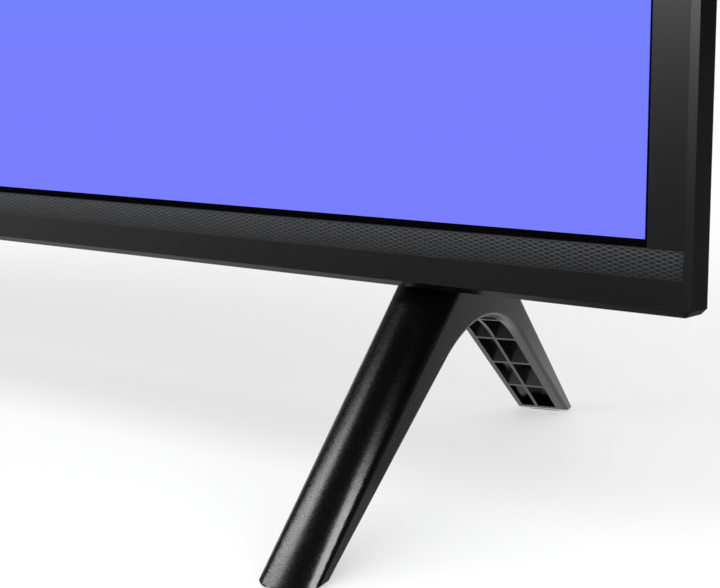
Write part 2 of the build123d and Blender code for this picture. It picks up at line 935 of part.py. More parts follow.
def make_aerial_socket():
    with BuildPart() as socket:
        with BuildSketch(bay_plane(socket_front)):
            with Locations((aerial_body / 2, socket_place(7))):
                Rectangle(aerial_body, aerial_body)
        extrude(amount=-aerial_length)
        with BuildSketch(bay_plane(socket_front)):
            with Locations((aerial_body / 2, socket_place(7))):
                Circle(aerial_barrel_radius)
        extrude(amount=aerial_barrel_length)
        with BuildSketch(bay_plane(socket_front + aerial_barrel_length)):
            with Locations((aerial_body / 2, socket_place(7))):
                Circle(aerial_bore)
        extrude(amount=-(mouth_depth + aerial_barrel_length), mode=Mode.SUBTRACT)
        with BuildSketch(bay_plane(socket_front - mouth_depth)):
            with Locations((aerial_body / 2, socket_place(7))):
                Circle(aerial_pin_radius)
        extrude(amount=mouth_depth + aerial_barrel_length / 2)
    return socket


def inlet_place():
    return (inlet_bay_low + inlet_bay_high) / 2


def make_power_inlet():
    with BuildPart() as inlet:
        with BuildSketch(bay_plane(-socket_front)):
            with Locations((inlet_height / 2, inlet_place())):
                Rectangle(inlet_height, inlet_width)
        extrude(amount=inlet_length)
        with BuildSketch(bay_plane(-socket_front - overrun)):
            with Locations((inlet_height / 2, inlet_place())):
                SlotOverall(inlet_mouth_width, inlet_mouth_height, rotation=quarter)
        extrude(amount=inlet_mouth_depth + overrun, mode=Mode.SUBTRACT)
        with BuildSketch(bay_plane(-socket_front)):
            with Locations((inlet_height / 2, inlet_place())):
                with GridLocations(inlet_pin_pitch, inlet_pin_pitch, 1, 2):
                    Circle(inlet_pin_radius)
        extrude(amount=inlet_length + overrun, mode=Mode.SUBTRACT)
    return inlet


def make_inlet_pins():
    with BuildPart() as pins:
        with BuildSketch(bay_plane(-socket_front + inlet_mouth_depth - inlet_pin_length)):
            with Locations((inlet_height / 2, inlet_place())):
                with GridLocations(inlet_pin_pitch, inlet_pin_pitch, 1, 2):
                    Circle(inlet_pin_radius - screw_pilot_gap)
        extrude(amount=inlet_length - inlet_mouth_depth + inlet_pin_length)
    return pins


# Boards behind the pan

def make_board(x, middle, width, height, face, thickness, corners):
    with BuildPart() as board:
        with BuildSketch(layer(face)):
            with Locations((x, middle)):
                Rectangle(width, height)
            with Locations(*corners):
                Circle(board_screw_radius + screw_well_gap, mode=Mode.SUBTRACT)
        extrude(amount=-thickness)
    return board


def make_main_board():
    return make_board(main_board_x, board_middle, main_board_width, main_board_height, board_face,
                      board_thickness, main_corners())


def make_power_board():
    return make_board(power_board_x, board_middle, power_board_width, main_board_height, board_face,
                      board_thickness, power_corners())


def make_timing_board():
    return make_board(timing_x, timing_low + timing_height / 2, timing_width, timing_height, timing_face,
                      timing_board_thickness, timing_corners())


def blocks_on(face, places, width, height, thickness):
    """Flat blocks on a board's back."""
    with BuildPart() as blocks:
        with BuildSketch(layer(face)):
            with Locations(*places):
                Rectangle(width, height)
        extrude(amount=-thickness)
    return blocks.part


def main_connector_low():
    return board_low + main_board_height - post_inset - connector_length


def timing_connector_low():
    return timing_low + post_inset


def make_main_board_parts():
    """Processor, memory, tuner can and the two connectors of the flat cable."""
    processor = (main_board_x - processor_width / 2, board_middle)
    memory_x = main_board_x - processor_width / 2 - heat_sink_width / 2 - memory_width
    memory = [(memory_x, board_middle + i * memory_pitch) for i in (-1, 0, 1)]
    tuner = (main_board_x, board_low + tuner_width)
    low_connector = (cable_x, main_connector_low() + connector_length / 2)
    high_connector = (cable_x, timing_connector_low() + connector_length / 2)
    blocks = [
        blocks_on(board_back, [processor], processor_width, processor_width, chip_height),
        blocks_on(board_back, memory, memory_width, memory_width, chip_height),
        blocks_on(board_back, [tuner], tuner_width, tuner_width, tuner_height),
        blocks_on(board_back, [low_connector], connector_width, connector_length, connector_height),
        blocks_on(timing_face + timing_board_thickness, [high_connector], connector_width, connector_length,
                  connector_height),
    ]
    with BuildPart() as parts:
        add(blocks)
    return parts


def make_heat_sink():
    """A finned block on the processor."""
    sink_x = main_board_x - processor_width / 2
    face = board_back + chip_height
    pitch = (heat_sink_width - fin_thickness) / (heat_sink_fins - 1)
    base = blocks_on(face, [(sink_x, board_middle)], heat_sink_width, heat_sink_width, heat_sink_base)
    with BuildPart() as sink:
        add(base)
        with BuildSketch(layer(face)):
            with Locations((sink_x, board_middle)):
                with GridLocations(pitch, heat_sink_width, heat_sink_fins, 1):
                    Rectangle(fin_thickness, heat_sink_width)
        extrude(amount=-heat_sink_height)
    return sink


def make_power_board_parts():
    """Transformer, filter coil and a column of capacitors."""
    transformer = blocks_on(board_back, [(power_board_x, board_middle)], transformer_width, transformer_width,
                            transformer_height)
    coil_place = (power_board_x - transformer_width, inlet_place() + coil_block_width)
    coil = blocks_on(board_back, [coil_place], coil_block_width, coil_block_width, coil_block_height)
    with BuildPart() as parts:
        add([transformer, coil])
        with BuildSketch(layer(board_back)):
            with Locations((power_board_x + transformer_width, board_middle)):
                with GridLocations(capacitor_pitch, capacitor_pitch, 1, 4):
                    Circle(capacitor_radius)
        extrude(amount=-capacitor_height)
    return parts


def make_wireless_board():
    return slab(wireless_width, wireless_height, wireless_middle, pan_back + seat_gap, wireless_thickness,
                wireless_x)


def make_panel_cable():
    """Flat cable from the main board's connector up to the timing board's."""
    low_depth = board_back + connector_height / 2
    high_depth = timing_face + timing_board_thickness + connector_height / 2
    start = main_connector_low() + connector_length
    end = timing_connector_low()
    points = [(front_y + low_depth, start), (front_y + low_depth, start + cable_straight),
              (front_y + high_depth, end - cable_straight), (front_y + high_depth, end)]
    with BuildPart() as cable:
        with BuildSketch(Plane(origin=(cable_x, 0, 0), x_dir=(0, 1, 0), z_dir=(1, 0, 0))):
            with BuildLine():
                route = FilletPolyline(*points, radius=cable_bend)
            trace(route, line_width=cable_thickness)
        extrude(amount=cable_width / 2, both=True)
    return cable


# Fasteners

def screws_at(plane, places, head_radius, head_height, shank_radius, length):
    """Pan-head screws on a plane whose normal points to their tips."""
    with BuildPart() as screws:
        with BuildSketch(plane):
            with Locations(*places):
                Circle(head_radius)
        extrude(amount=-head_height)
        with BuildSketch(plane):
            with Locations(*places):
                Circle(shank_radius)
        extrude(amount=length)
    return screws.part


def make_cover_screws():
    length = boss_floor + seat_gap + bezel_depth - ledge_back - seat_gap
    column = screws_at(layer(cover_face + boss_floor), cover_screw_places(), screw_head_radius,
                       screw_head_height, screw_shank_radius, length)
    with BuildPart() as screws:
        add(column)
    return screws


def make_board_screws():
    posts = [(side * key_post_pitch / 2, -(front_y + button_depth)) for side in (-1, 1)]
    down = Plane(origin=(0, 0, key_board_level + board_thickness), x_dir=(1, 0, 0), z_dir=(0, 0, -1))
    groups = [
        screws_at(layer(board_back), main_corners() + power_corners(), board_screw_head_radius,
                  board_screw_head_height, board_screw_radius, board_screw_length),
        screws_at(layer(timing_face + timing_board_thickness), timing_corners(), board_screw_head_radius,
                  board_screw_head_height, board_screw_radius, short_screw_length),
        screws_at(layer(pan_back + bracket_sheet), bracket_holes(), board_screw_head_radius,
                  board_screw_head_height, board_screw_radius, short_screw_length),
        screws_at(down, posts, board_screw_head_radius, board_screw_head_height, board_screw_radius,
                  board_screw_length),
    ]
    with BuildPart() as screws:
        add(groups)
    return screws


def make_wall_mount_posts():
    with BuildPart() as posts:
        with BuildSketch(layer(pan_back)):
            with Locations((0, wall_mount_middle)):
                with GridLocations(wall_mount_pitch, wall_mount_pitch, 2, 2):
                    Circle(mount_post_radius)
        extrude(amount=-(bulge_depth - mount_post_sink - pan_back))
        with BuildSketch(layer(bulge_depth - mount_post_sink)):
            with Locations((0, wall_mount_middle)):
                with GridLocations(wall_mount_pitch, wall_mount_pitch, 2, 2):
                    Circle(mount_bore_radius)
        extrude(amount=mount_bore_depth, mode=Mode.SUBTRACT)
    return posts


# Speakers

speaker_floor = cover_floor + seat_gap
driver_level = speaker_floor + speaker_box_wall
cone_level = driver_level + surround_thickness
plate_level = driver_level + driver_flange_thickness + basket_height


def speaker_plane(height, side):
    return Plane(origin=(side * speaker_x, front_y + speaker_depth, height), x_dir=(1, 0, 0), z_dir=(0, 0, 1))


def make_speaker_box(side):
    with BuildPart() as box:
        with BuildSketch(speaker_plane(speaker_floor, side)):
            Rectangle(speaker_box_width, speaker_box_depth)
        extrude(amount=speaker_box_height)
        with BuildSketch(speaker_plane(driver_level, side)):
            Rectangle(speaker_box_width - 2 * speaker_box_wall, speaker_box_depth - 2 * speaker_box_wall)
        extrude(amount=speaker_box_height - 2 * speaker_box_wall, mode=Mode.SUBTRACT)
        with BuildSketch(speaker_plane(speaker_floor - overrun, side)):
            Ellipse(driver_hole_width / 2, driver_hole_height / 2)
        extrude(amount=speaker_box_wall + 2 * overrun, mode=Mode.SUBTRACT)
    return box


def make_speaker_frame(side):
    """Flange on the box's floor, basket wall and the plate that carries the magnet."""
    with BuildPart() as frame:
        with BuildSketch(speaker_plane(driver_level, side)):
            SlotOverall(driver_flange_width, driver_flange_height)
            Ellipse(driver_hole_width / 2, driver_hole_height / 2, mode=Mode.SUBTRACT)
        extrude(amount=driver_flange_thickness)
        with BuildSketch(speaker_plane(driver_level + driver_flange_thickness, side)):
            Ellipse(driver_hole_width / 2 + basket_wall, driver_hole_height / 2 + basket_wall)
            Ellipse(driver_hole_width / 2, driver_hole_height / 2, mode=Mode.SUBTRACT)
        extrude(amount=basket_height)
        with BuildSketch(speaker_plane(plate_level, side)):
            Ellipse(driver_hole_width / 2 + basket_wall, driver_hole_height / 2 + basket_wall)
            Circle(coil_radius + coil_gap, mode=Mode.SUBTRACT)
        extrude(amount=basket_wall)
    return frame


def make_speaker_magnet(side):
    """Ring magnet with its back plate and pole."""
    low = plate_level + basket_wall
    with BuildPart() as magnet:
        with BuildSketch(speaker_plane(low, side)):
            Circle(magnet_radius)
            Circle(coil_radius + coil_gap, mode=Mode.SUBTRACT)
        extrude(amount=magnet_height)
        with BuildSketch(speaker_plane(low + magnet_height, side)):
            Circle(magnet_radius)
        extrude(amount=magnet_back)
        with BuildSketch(speaker_plane(low + magnet_height, side)):
            Circle(coil_radius - coil_wall - coil_gap)
        extrude(amount=-(magnet_height + basket_wall))
    return magnet


def make_speaker_cone(side):
    """Oval paper cone with its coil former."""
    rise = cone_level + cone_rise
    with BuildPart() as outer:
        with BuildSketch(speaker_plane(cone_level, side)):
            Ellipse(cone_width / 2, cone_height / 2)
        with BuildSketch(speaker_plane(rise, side)):
            Circle(coil_radius)
        loft(ruled=True)
    with BuildPart() as inner:
        with BuildSketch(speaker_plane(cone_level - cone_thickness, side)):
            Ellipse(cone_width / 2, cone_height / 2)
        with BuildSketch(speaker_plane(rise - cone_thickness, side)):
            Circle(coil_radius)
        loft(ruled=True)
    with BuildPart() as cone:
        add(outer.part)
        add(inner.part, mode=Mode.SUBTRACT)
        with BuildSketch(speaker_plane(rise, side)):
            Circle(coil_radius)
            Circle(coil_radius - coil_wall, mode=Mode.SUBTRACT)
        extrude(amount=coil_length)
    return cone


def make_speaker_surround(side):
    with BuildPart() as surround:
        with BuildSketch(speaker_plane(driver_level, side)):
            Ellipse(driver_hole_width / 2 - surround_gap, driver_hole_height / 2 - surround_gap)
            Ellipse(cone_width / 2 - surround_gap, cone_height / 2 - surround_gap, mode=Mode.SUBTRACT)
        extrude(amount=surround_thickness - surround_gap)
    return surround


# Power button

def button_plane(height):
    return Plane(origin=(0, front_y + button_depth, height), x_dir=(1, 0, 0), z_dir=(0, 0, 1))


def make_power_button():
    flange_low = cover_floor + seat_gap
    with BuildPart() as button:
        with BuildSketch(button_plane(cabinet_bottom - button_proud)):
            RectangleRounded(button_width, button_height, radius=button_height / 4)
        extrude(amount=flange_low + button_proud - cabinet_bottom)
        fillet(button.faces().sort_by(Axis.Z)[0].edges(), radius=button_proud / 2)
        with BuildSketch(button_plane(flange_low)):
            Rectangle(button_width + 2 * button_flange, button_height + 2 * button_flange)
        extrude(amount=button_flange_thickness)
        with BuildSketch(button_plane(button_top)):
            Circle(button_stem_radius)
        extrude(amount=switch_level - switch_stem_proud - button_top)
    return button


def make_switch_stem():
    with BuildPart() as stem:
        with BuildSketch(button_plane(switch_level - switch_stem_proud + switch_stem_gap)):
            Circle(switch_stem_radius)
        extrude(amount=switch_stem_length)
    return stem


def make_power_switch():
    with BuildPart() as switch:
        with BuildSketch(button_plane(switch_level)):
            Rectangle(switch_body, switch_body)
        extrude(amount=switch_height)
        with BuildSketch(button_plane(switch_level - overrun)):
            Circle(switch_stem_radius + switch_stem_gap)
        extrude(amount=overrun + switch_height - switch_roof, mode=Mode.SUBTRACT)
    return switch


def make_button_board():
    with BuildPart() as board:
        with BuildSketch(button_plane(key_board_level)):
            Rectangle(key_board_width, key_board_height)
            with GridLocations(key_post_pitch, key_post_radius, 2, 1):
                Circle(board_screw_radius + screw_well_gap, mode=Mode.SUBTRACT)
        extrude(amount=board_thickness)
    return board


# Legs

def leg_outline(height, inset):
    """One level of the solid leg: a flat outer side, two rounded ends and the inner side."""
    return rounded_outline(
        height, front_edge(height) + inset, rear_edge(height) - inset, inset,
        between(front_foot_width, leg_top_width, height) - inset,
        between(rear_foot_width, leg_top_width, height) - inset,
        between(front_crown_foot, front_crown_top, height), between(rear_crown_foot, rear_crown_top, height))


def channel_outline(height):
    """One level of the open channel between the leg's walls."""
    return rounded_outline(
        height, front_edge(height) + leg_skin_run, rear_edge(height) - leg_skin_run, leg_outer_wall,
        between(front_foot_width, leg_top_width, height) - leg_inner_wall,
        between(rear_foot_width, leg_top_width, height) - leg_inner_wall,
        channel_crown_share * between(front_crown_foot, front_crown_top, height),
        channel_crown_share * between(rear_crown_foot, rear_crown_top, height))


def rounded_outline(height, front, rear, low, high_front, high_rear, crown_front, crown_rear):
    with BuildSketch(leg_level(height)) as outline:
        with BuildLine():
            Line((front, low), (rear, low))
            EllipticalCenterArc((rear, (low + high_rear) / 2), crown_rear, (high_rear - low) / 2,
                                start_angle=-quarter, arc_size=2 * quarter)
            Line((rear, high_rear), (front, high_front))
            EllipticalCenterArc((front, (low + high_front) / 2), crown_front, (high_front - low) / 2,
                                start_angle=quarter, arc_size=2 * quarter)
        make_face()
    return outline.sketch


def leg_place(point):
    """(s, z) of a point in the leg's side plane, and its distance inwards."""
    local = leg_side().to_local_coords(point)
    return local.X, local.Y, -local.Z


def on_arch(rim):
    """True for the edges of the arch on the leg's outer side."""
    s, height, inwards = leg_place(rim.center())
    below_lines = height < min(s * math.tan(math.radians(front_slope)),
                               (leg_span - s) * math.tan(math.radians(rear_slope))) + pad_proud
    return abs(inwards) < pad_gap and below_lines and height > pad_thickness


def tongue_middle():
    return tongue_start + tongue_length / 2, leg_outer_wall + tongue_width / 2


def leg_screw_places():
    s, inwards = tongue_middle()
    return [(s + side * leg_screw_pitch / 2, inwards) for side in (-1, 1)]


def make_channel():
    """The space inside the leg, with its ribs and the solid apex left standing."""
    low = channel_outline(channel_floor)
    high = channel_outline(channel_roof)
    rib_places = [front_rib_start + i * rib_pitch for i in range(front_rib_count)]
    rib_places += [rear_rib_start + i * rib_pitch for i in range(rear_rib_count)]
    with BuildPart() as channel:
        loft(sections=[low, high], ruled=True)
        with BuildSketch(leg_level(0)):
            with Locations((apex_start, leg_top_width / 2)):
                Rectangle(apex_end - apex_start, 2 * leg_top_width, align=(Align.MIN, Align.CENTER))
            with Locations(*[(s, leg_top_width / 2) for s in rib_places]):
                Rectangle(rib_thickness, 2 * leg_top_width)
            with Locations((leg_span / 2, (leg_outer_wall + leg_top_width - leg_inner_wall) / 2)):
                Rectangle(2 * leg_span, rib_thickness)
        extrude(amount=cabinet_bottom, mode=Mode.SUBTRACT)
    return channel.part


def front_pad_place():
    return (front_edge(pad_proud) - front_crown_foot + spread(front_slope, pad_proud)) / 2


def rear_pad_place():
    return (rear_edge(pad_proud) + rear_crown_foot + leg_span - spread(rear_slope, pad_proud)) / 2


def pad_outlines(height, gap):
    """Both pads of the right leg as a sketch."""
    with BuildSketch(leg_level(height)) as outlines:
        with Locations((front_pad_place(), front_foot_width / 2)):
            RectangleRounded(front_pad_length + 2 * gap, front_pad_width + 2 * gap, radius=pad_round)
        with Locations((rear_pad_place(), rear_foot_width / 2)):
            RectangleRounded(rear_pad_length + 2 * gap, rear_pad_width + 2 * gap, radius=pad_round)
    return outlines.sketch


def make_right_leg():
    sole = leg_outline(pad_proud, foot_edge_chamfer)
    base = leg_outline(pad_proud + foot_edge_chamfer, 0)
    top = leg_outline(cabinet_bottom, 0)
    channel = make_channel()
    pad_seats = pad_outlines(pad_proud - overrun, pad_gap)
    with BuildPart() as leg:
        loft(sections=[sole, base, top], ruled=True)
        with BuildSketch(leg_side()) as arch:
            front_run = spread(front_slope, overrun)
            rear_run = spread(rear_slope, overrun)
            slope_ratio = math.tan(math.radians(front_slope)) / math.tan(math.radians(rear_slope))
            crest = leg_span / (1 + slope_ratio)
            Polygon((-front_run, -overrun), (crest, crest * math.tan(math.radians(front_slope))),
                    (leg_span + rear_run, -overrun), align=None)
            fillet(arch.vertices().sort_by(Axis.Y)[-1], radius=arch_radius)
        extrude(amount=2 * leg_top_width, both=True, mode=Mode.SUBTRACT)
        fillet(leg.edges().filter_by(on_arch), radius=arch_edge_round)
        add(channel, mode=Mode.SUBTRACT)
        with BuildSketch(leg_level(cabinet_bottom)):
            with Locations(tongue_middle()):
                Rectangle(tongue_length, tongue_width)
        extrude(amount=tongue_height)
        with BuildSketch(leg_level(0)):
            with Locations(*leg_screw_places()):
                Circle(leg_screw_radius + leg_screw_gap)
        extrude(amount=cabinet_bottom + tongue_height + overrun, mode=Mode.SUBTRACT)
        with BuildSketch(leg_level(0)):
            with Locations(*leg_screw_places()):
                Circle(leg_screw_head_radius + leg_screw_well_gap)
        extrude(amount=leg_screw_seat, mode=Mode.SUBTRACT)
        extrude(pad_seats, amount=overrun + pad_thickness - pad_proud, mode=Mode.SUBTRACT)
    return leg


def mirrored(piece):
    """The same piece on the other side of the set."""
    with BuildPart() as other:
        add(mirror(piece.part, about=Plane.YZ, mode=Mode.PRIVATE))
    return other


def make_foot_pads():
    outlines = pad_outlines(0, 0)
    with BuildPart() as pads:
        extrude(outlines, amount=pad_thickness)
        mirror(about=Plane.YZ)
    return pads


def make_leg_screws():
    pair = screws_at(leg_level(leg_screw_seat), leg_screw_places(), leg_screw_head_radius,
                     leg_screw_head_height, leg_screw_radius, leg_screw_length)
    with BuildPart() as screws:
        add(pair)
        mirror(about=Plane.YZ)
    return screws


def bracket_plate_level():
    return cabinet_bottom + tongue_height + seat_gap


def leg_bracket_x():
    """World x of the tongue's middle."""
    s, inwards = tongue_middle()
    return leg_x + s * along[0] - inwards * outward[0]


def leg_bracket_tab_low():
    return bracket_plate_level()


def make_leg_brackets():
    """Steel saddles over the tongues, hung from the back pan."""
    inner = tongue_width + 2 * seat_gap
    length = tongue_length + 2 * bracket_sheet
    with BuildPart() as brackets:
        with BuildSketch(leg_level(bracket_plate_level())):
            with Locations(tongue_middle()):
                Rectangle(length, inner + 2 * bracket_sheet)
        extrude(amount=bracket_sheet)
        with BuildSketch(leg_level(bracket_plate_level())):
            with Locations(tongue_middle()):
                Rectangle(length, inner + 2 * bracket_sheet)
                Rectangle(length + overrun, inner, mode=Mode.SUBTRACT)
        extrude(amount=-bracket_side_drop)
        with BuildSketch(layer(pan_back)):
            with Locations((leg_bracket_x(), leg_bracket_tab_low())):
                Rectangle(bracket_tab_width, bracket_tab_height, align=(Align.CENTER, Align.MIN))
        extrude(amount=-bracket_sheet)
        with BuildSketch(leg_level(bracket_plate_level() - bracket_side_drop)):
            with Locations(*leg_screw_places()):
                Circle(leg_screw_radius + bracket_thread_gap)
        extrude(amount=bracket_side_drop + bracket_sheet + 2 * overrun, mode=Mode.SUBTRACT)
        with BuildSketch(layer(pan_back - overrun)):
            with Locations(*[place for place in bracket_holes() if place[0] > 0]):
                Circle(board_screw_radius + screw_pilot_gap)
        extrude(amount=-(bracket_sheet + 2 * overrun), mode=Mode.SUBTRACT)
        mirror(about=Plane.YZ)
    return brackets


def main():
    os.makedirs("parts", exist_ok=True)
    save(make_front_bezel(), "front_bezel")
    save(make_trim_strip(), "trim_strip")
    save(make_receiver_window(), "receiver_window")
    save(make_receiver_board(), "receiver_board")
    save(make_receiver_sensor(), "receiver_sensor")
    save(make_lcd_panel(), "lcd_panel")
    save(make_middle_frame(), "middle_frame")
    save(make_optical_films(), "optical_films")
    save(make_diffuser_plate(), "diffuser_plate")
    save(make_reflector(), "reflector_sheet")
    save(make_led_bars(), "led_bars")
    save(make_led_lenses(), "led_lenses")
    save(make_back_pan(), "back_pan")
    save(make_rear_cover(), "rear_cover")
    save(make_cover_screws(), "cover_screws")
    save(make_main_board(), "main_board")
    save(make_main_board_parts(), "main_board_parts")
    save(make_heat_sink(), "heat_sink")
    save(make_hdmi_sockets(), "hdmi_sockets")
    save(make_usb_sockets(), "usb_sockets")
    save(make_network_socket(), "network_socket")
    save(make_jack(5, optical_bore), "optical_socket")
    save(make_jack(6, jack_bore), "audio_socket")
    save(make_aerial_socket(), "aerial_socket")
    save(make_power_board(), "power_board")
    save(make_power_board_parts(), "power_board_parts")
    save(make_power_inlet(), "power_inlet")
    save(make_inlet_pins(), "inlet_pins")
    save(make_timing_board(), "timing_board")
    save(make_wireless_board(), "wireless_board")
    save(make_panel_cable(), "panel_cable")
    save(make_board_screws(), "board_screws")
    save(make_wall_mount_posts(), "wall_mount_posts")
    for side, name in ((-1, "left"), (1, "right")):
        save(make_speaker_box(side), f"{name}_speaker_box")
        save(make_speaker_frame(side), f"{name}_speaker_frame")
        save(make_speaker_magnet(side), f"{name}_speaker_magnet")
        save(make_speaker_cone(side), f"{name}_speaker_cone")
        save(make_speaker_surround(side), f"{name}_speaker_surround")
    save(make_power_button(), "power_button")
    save(make_switch_stem(), "switch_stem")
    save(make_power_switch(), "power_switch")
    save(make_button_board(), "button_board")
    right_leg = make_right_leg()
    save(right_leg, "right_leg")
    save(mirrored(right_leg), "left_leg")
    save(make_foot_pads(), "foot_pads")
    save(make_leg_screws(), "leg_screws")
    save(make_leg_brackets(), "leg_brackets")


main()
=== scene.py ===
"""Flat screen tv on two splayed legs: finishes, lit screen, textured strip, screws and studio."""

import json
import math

import bmesh
import bpy
from mathutils import Matrix, Vector

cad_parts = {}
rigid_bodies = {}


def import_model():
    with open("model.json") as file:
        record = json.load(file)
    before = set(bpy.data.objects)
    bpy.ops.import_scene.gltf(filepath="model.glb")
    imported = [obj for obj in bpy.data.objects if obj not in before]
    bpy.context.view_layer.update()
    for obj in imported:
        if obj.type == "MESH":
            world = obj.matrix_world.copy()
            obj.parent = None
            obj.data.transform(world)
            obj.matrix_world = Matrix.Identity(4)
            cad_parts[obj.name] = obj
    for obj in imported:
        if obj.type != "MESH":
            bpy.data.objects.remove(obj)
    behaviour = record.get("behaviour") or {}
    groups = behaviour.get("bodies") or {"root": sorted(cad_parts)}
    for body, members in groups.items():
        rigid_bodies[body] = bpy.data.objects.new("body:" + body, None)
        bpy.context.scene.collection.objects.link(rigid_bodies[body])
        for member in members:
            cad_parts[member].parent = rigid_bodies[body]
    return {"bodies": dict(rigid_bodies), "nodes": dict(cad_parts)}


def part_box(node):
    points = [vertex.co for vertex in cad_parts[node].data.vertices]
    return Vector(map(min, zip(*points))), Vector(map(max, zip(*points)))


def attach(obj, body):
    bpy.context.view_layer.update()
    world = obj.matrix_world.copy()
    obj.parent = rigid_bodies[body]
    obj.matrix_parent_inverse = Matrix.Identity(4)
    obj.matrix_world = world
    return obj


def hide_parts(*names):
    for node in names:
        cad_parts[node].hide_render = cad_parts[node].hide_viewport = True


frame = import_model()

bl_info = {
    "name": "Flat screen tv",
    "version": (1, 0, 0),
    "blender": (4, 5, 0),
    "location": "3D View > Sidebar > Tv",
    "description": "Dresses the packed tv: finishes, lit screen, textured strip, screws and studio",
    "category": "Object",
}

for extra in list(bpy.data.objects):
    if extra not in [*frame["nodes"].values(), *frame["bodies"].values()]:
        bpy.data.objects.remove(extra)
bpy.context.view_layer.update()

MM = 0.001
WHITE = (1.0, 1.0, 1.0, 1.0)
SATIN_DEPTH = 0.000008      # height of the grain on the legs and the strip

# What gloss sees of the studio; the camera sees plain white
SKY_SEEN = 0.8              # share of the studio tone in the sky
FLOOR_SEEN = 0.7            # share of the studio tone in the floor's own light
FLOOR_SEEN_GLOW = 0.9       # share of the floor that is its own light
FADE_START = math.radians(8)    # height where the sky starts to fade to the ceiling
FADE_END = math.radians(30)     # height where it has faded
# Azimuth of each lobe, the cosines where it starts and is full, and its level
LOBES = ((150, 0.17, 0.62, "Bright"), (40, 0.45, 0.66, "Dark"))


# Sizes and colours that a user would change

class TvCamera(bpy.types.PropertyGroup):
    place: bpy.props.FloatVectorProperty(
        name="Place", description="Where the camera stands", size=3, subtype="XYZ", unit="LENGTH",
        default=(0.5354, -0.35146, 0.1163), precision=5)
    azimuth: bpy.props.FloatProperty(
        name="Azimuth", description="Turn of the camera about the vertical", subtype="ANGLE",
        default=math.radians(39.3))
    pitch: bpy.props.FloatProperty(
        name="Pitch", description="Tilt of the camera below the horizon", subtype="ANGLE",
        default=math.radians(8.5))
    lens: bpy.props.FloatProperty(
        name="Lens", description="Focal length for a 36 mm wide sensor", unit="CAMERA", default=82.15)


class TvScreen(bpy.types.PropertyGroup):
    lit_width: bpy.props.FloatProperty(
        name="Lit width", description="Width of the picture", unit="LENGTH", default=0.6977, precision=4)
    lit_height: bpy.props.FloatProperty(
        name="Lit height", description="Height of the picture", unit="LENGTH", default=0.3923, precision=4)
    lit_low: bpy.props.FloatProperty(
        name="Lit bottom", description="Height of the picture's lower edge", unit="LENGTH",
        default=0.07305, precision=5)
    colour_low: bpy.props.FloatVectorProperty(
        name="Lower colour", description="Light of the picture at its foot", size=3, subtype="COLOR",
        default=(0.196, 0.209, 1.0))
    colour_high: bpy.props.FloatVectorProperty(
        name="Upper colour", description="Light of the picture at its head", size=3, subtype="COLOR",
        default=(0.166, 0.233, 0.99))
    band_height: bpy.props.FloatProperty(
        name="Band height", description="Height of the faint bands in the picture", unit="LENGTH",
        default=0.012, precision=4)


class TvStrip(bpy.types.PropertyGroup):
    columns: bpy.props.IntProperty(
        name="Columns", description="Diamonds along the strip", default=228, min=8)
    rows: bpy.props.IntProperty(
        name="Half rows", description="Half diamonds up the strip", default=13, min=2)
    ridge_height: bpy.props.FloatProperty(
        name="Ridge height", description="Height of the lattice over the diamonds", unit="LENGTH",
        default=0.00016, precision=5)
    flat_share: bpy.props.FloatProperty(
        name="Flat share", description="Share of each diamond that is flat", subtype="FACTOR",
        default=0.80, min=0.1, max=0.95)


class TvFinish(bpy.types.PropertyGroup):
    bezel: bpy.props.FloatVectorProperty(
        name="Bezel", description="Satin black of the front", size=3, subtype="COLOR",
        default=(0.0016, 0.0016, 0.0017))
    leg: bpy.props.FloatVectorProperty(
        name="Legs", description="Satin black of the legs", size=3, subtype="COLOR",
        default=(0.0010, 0.0010, 0.0011))
    cover: bpy.props.FloatVectorProperty(
        name="Back cover", description="Grained black of the back", size=3, subtype="COLOR",
        default=(0.008, 0.008, 0.0085))
    lattice: bpy.props.FloatVectorProperty(
        name="Lattice", description="Raised lines of the textured strip", size=3, subtype="COLOR",
        default=(0.140, 0.146, 0.157))
    diamond: bpy.props.FloatVectorProperty(
        name="Diamonds", description="Sunk diamonds of the textured strip", size=3, subtype="COLOR",
        default=(0.0045, 0.0046, 0.0053))


class TvStudio(bpy.types.PropertyGroup):
    world_light: bpy.props.FloatProperty(
        name="World light", description="Level of the even light from all round", default=1.32, min=0.0)
    lean: bpy.props.FloatProperty(
        name="Lean", description="How much more of the even light comes from the front", subtype="FACTOR",
        default=1.0, min=0.0, max=1.0)
    horizon: bpy.props.FloatProperty(
        name="Horizon", description="Level that gloss sees all round", default=0.3, min=0.0)
    dark_side: bpy.props.FloatProperty(
        name="Dark side", description="Level that gloss sees at the right rear", default=0.07, min=0.0)
    bright_side: bpy.props.FloatProperty(
        name="Bright side", description="Level that gloss sees at the left rear", default=1.1, min=0.0)
    ceiling: bpy.props.FloatProperty(
        name="Ceiling", description="Level that gloss sees overhead", default=0.01, min=0.0)
    floor_glow: bpy.props.FloatProperty(
        name="Floor glow", description="Share of the floor's own white", subtype="FACTOR",
        default=0.46, min=0.0, max=1.0)
    left_power: bpy.props.FloatProperty(
        name="Left lamp", description="Power of the lamp high at the left", unit="POWER", default=4.8)
    rear_power: bpy.props.FloatProperty(
        name="Rear lamp", description="Power of the lamp above the right rear", unit="POWER", default=11.0)
    front_power: bpy.props.FloatProperty(
        name="Front lamp", description="Power of the wide lamp in front", unit="POWER", default=30.0)
    side_power: bpy.props.FloatProperty(
        name="Side lamp", description="Power of the lamp at the right front", unit="POWER", default=13.0)


# Shader node groups, each built once and placed in each material with its own values

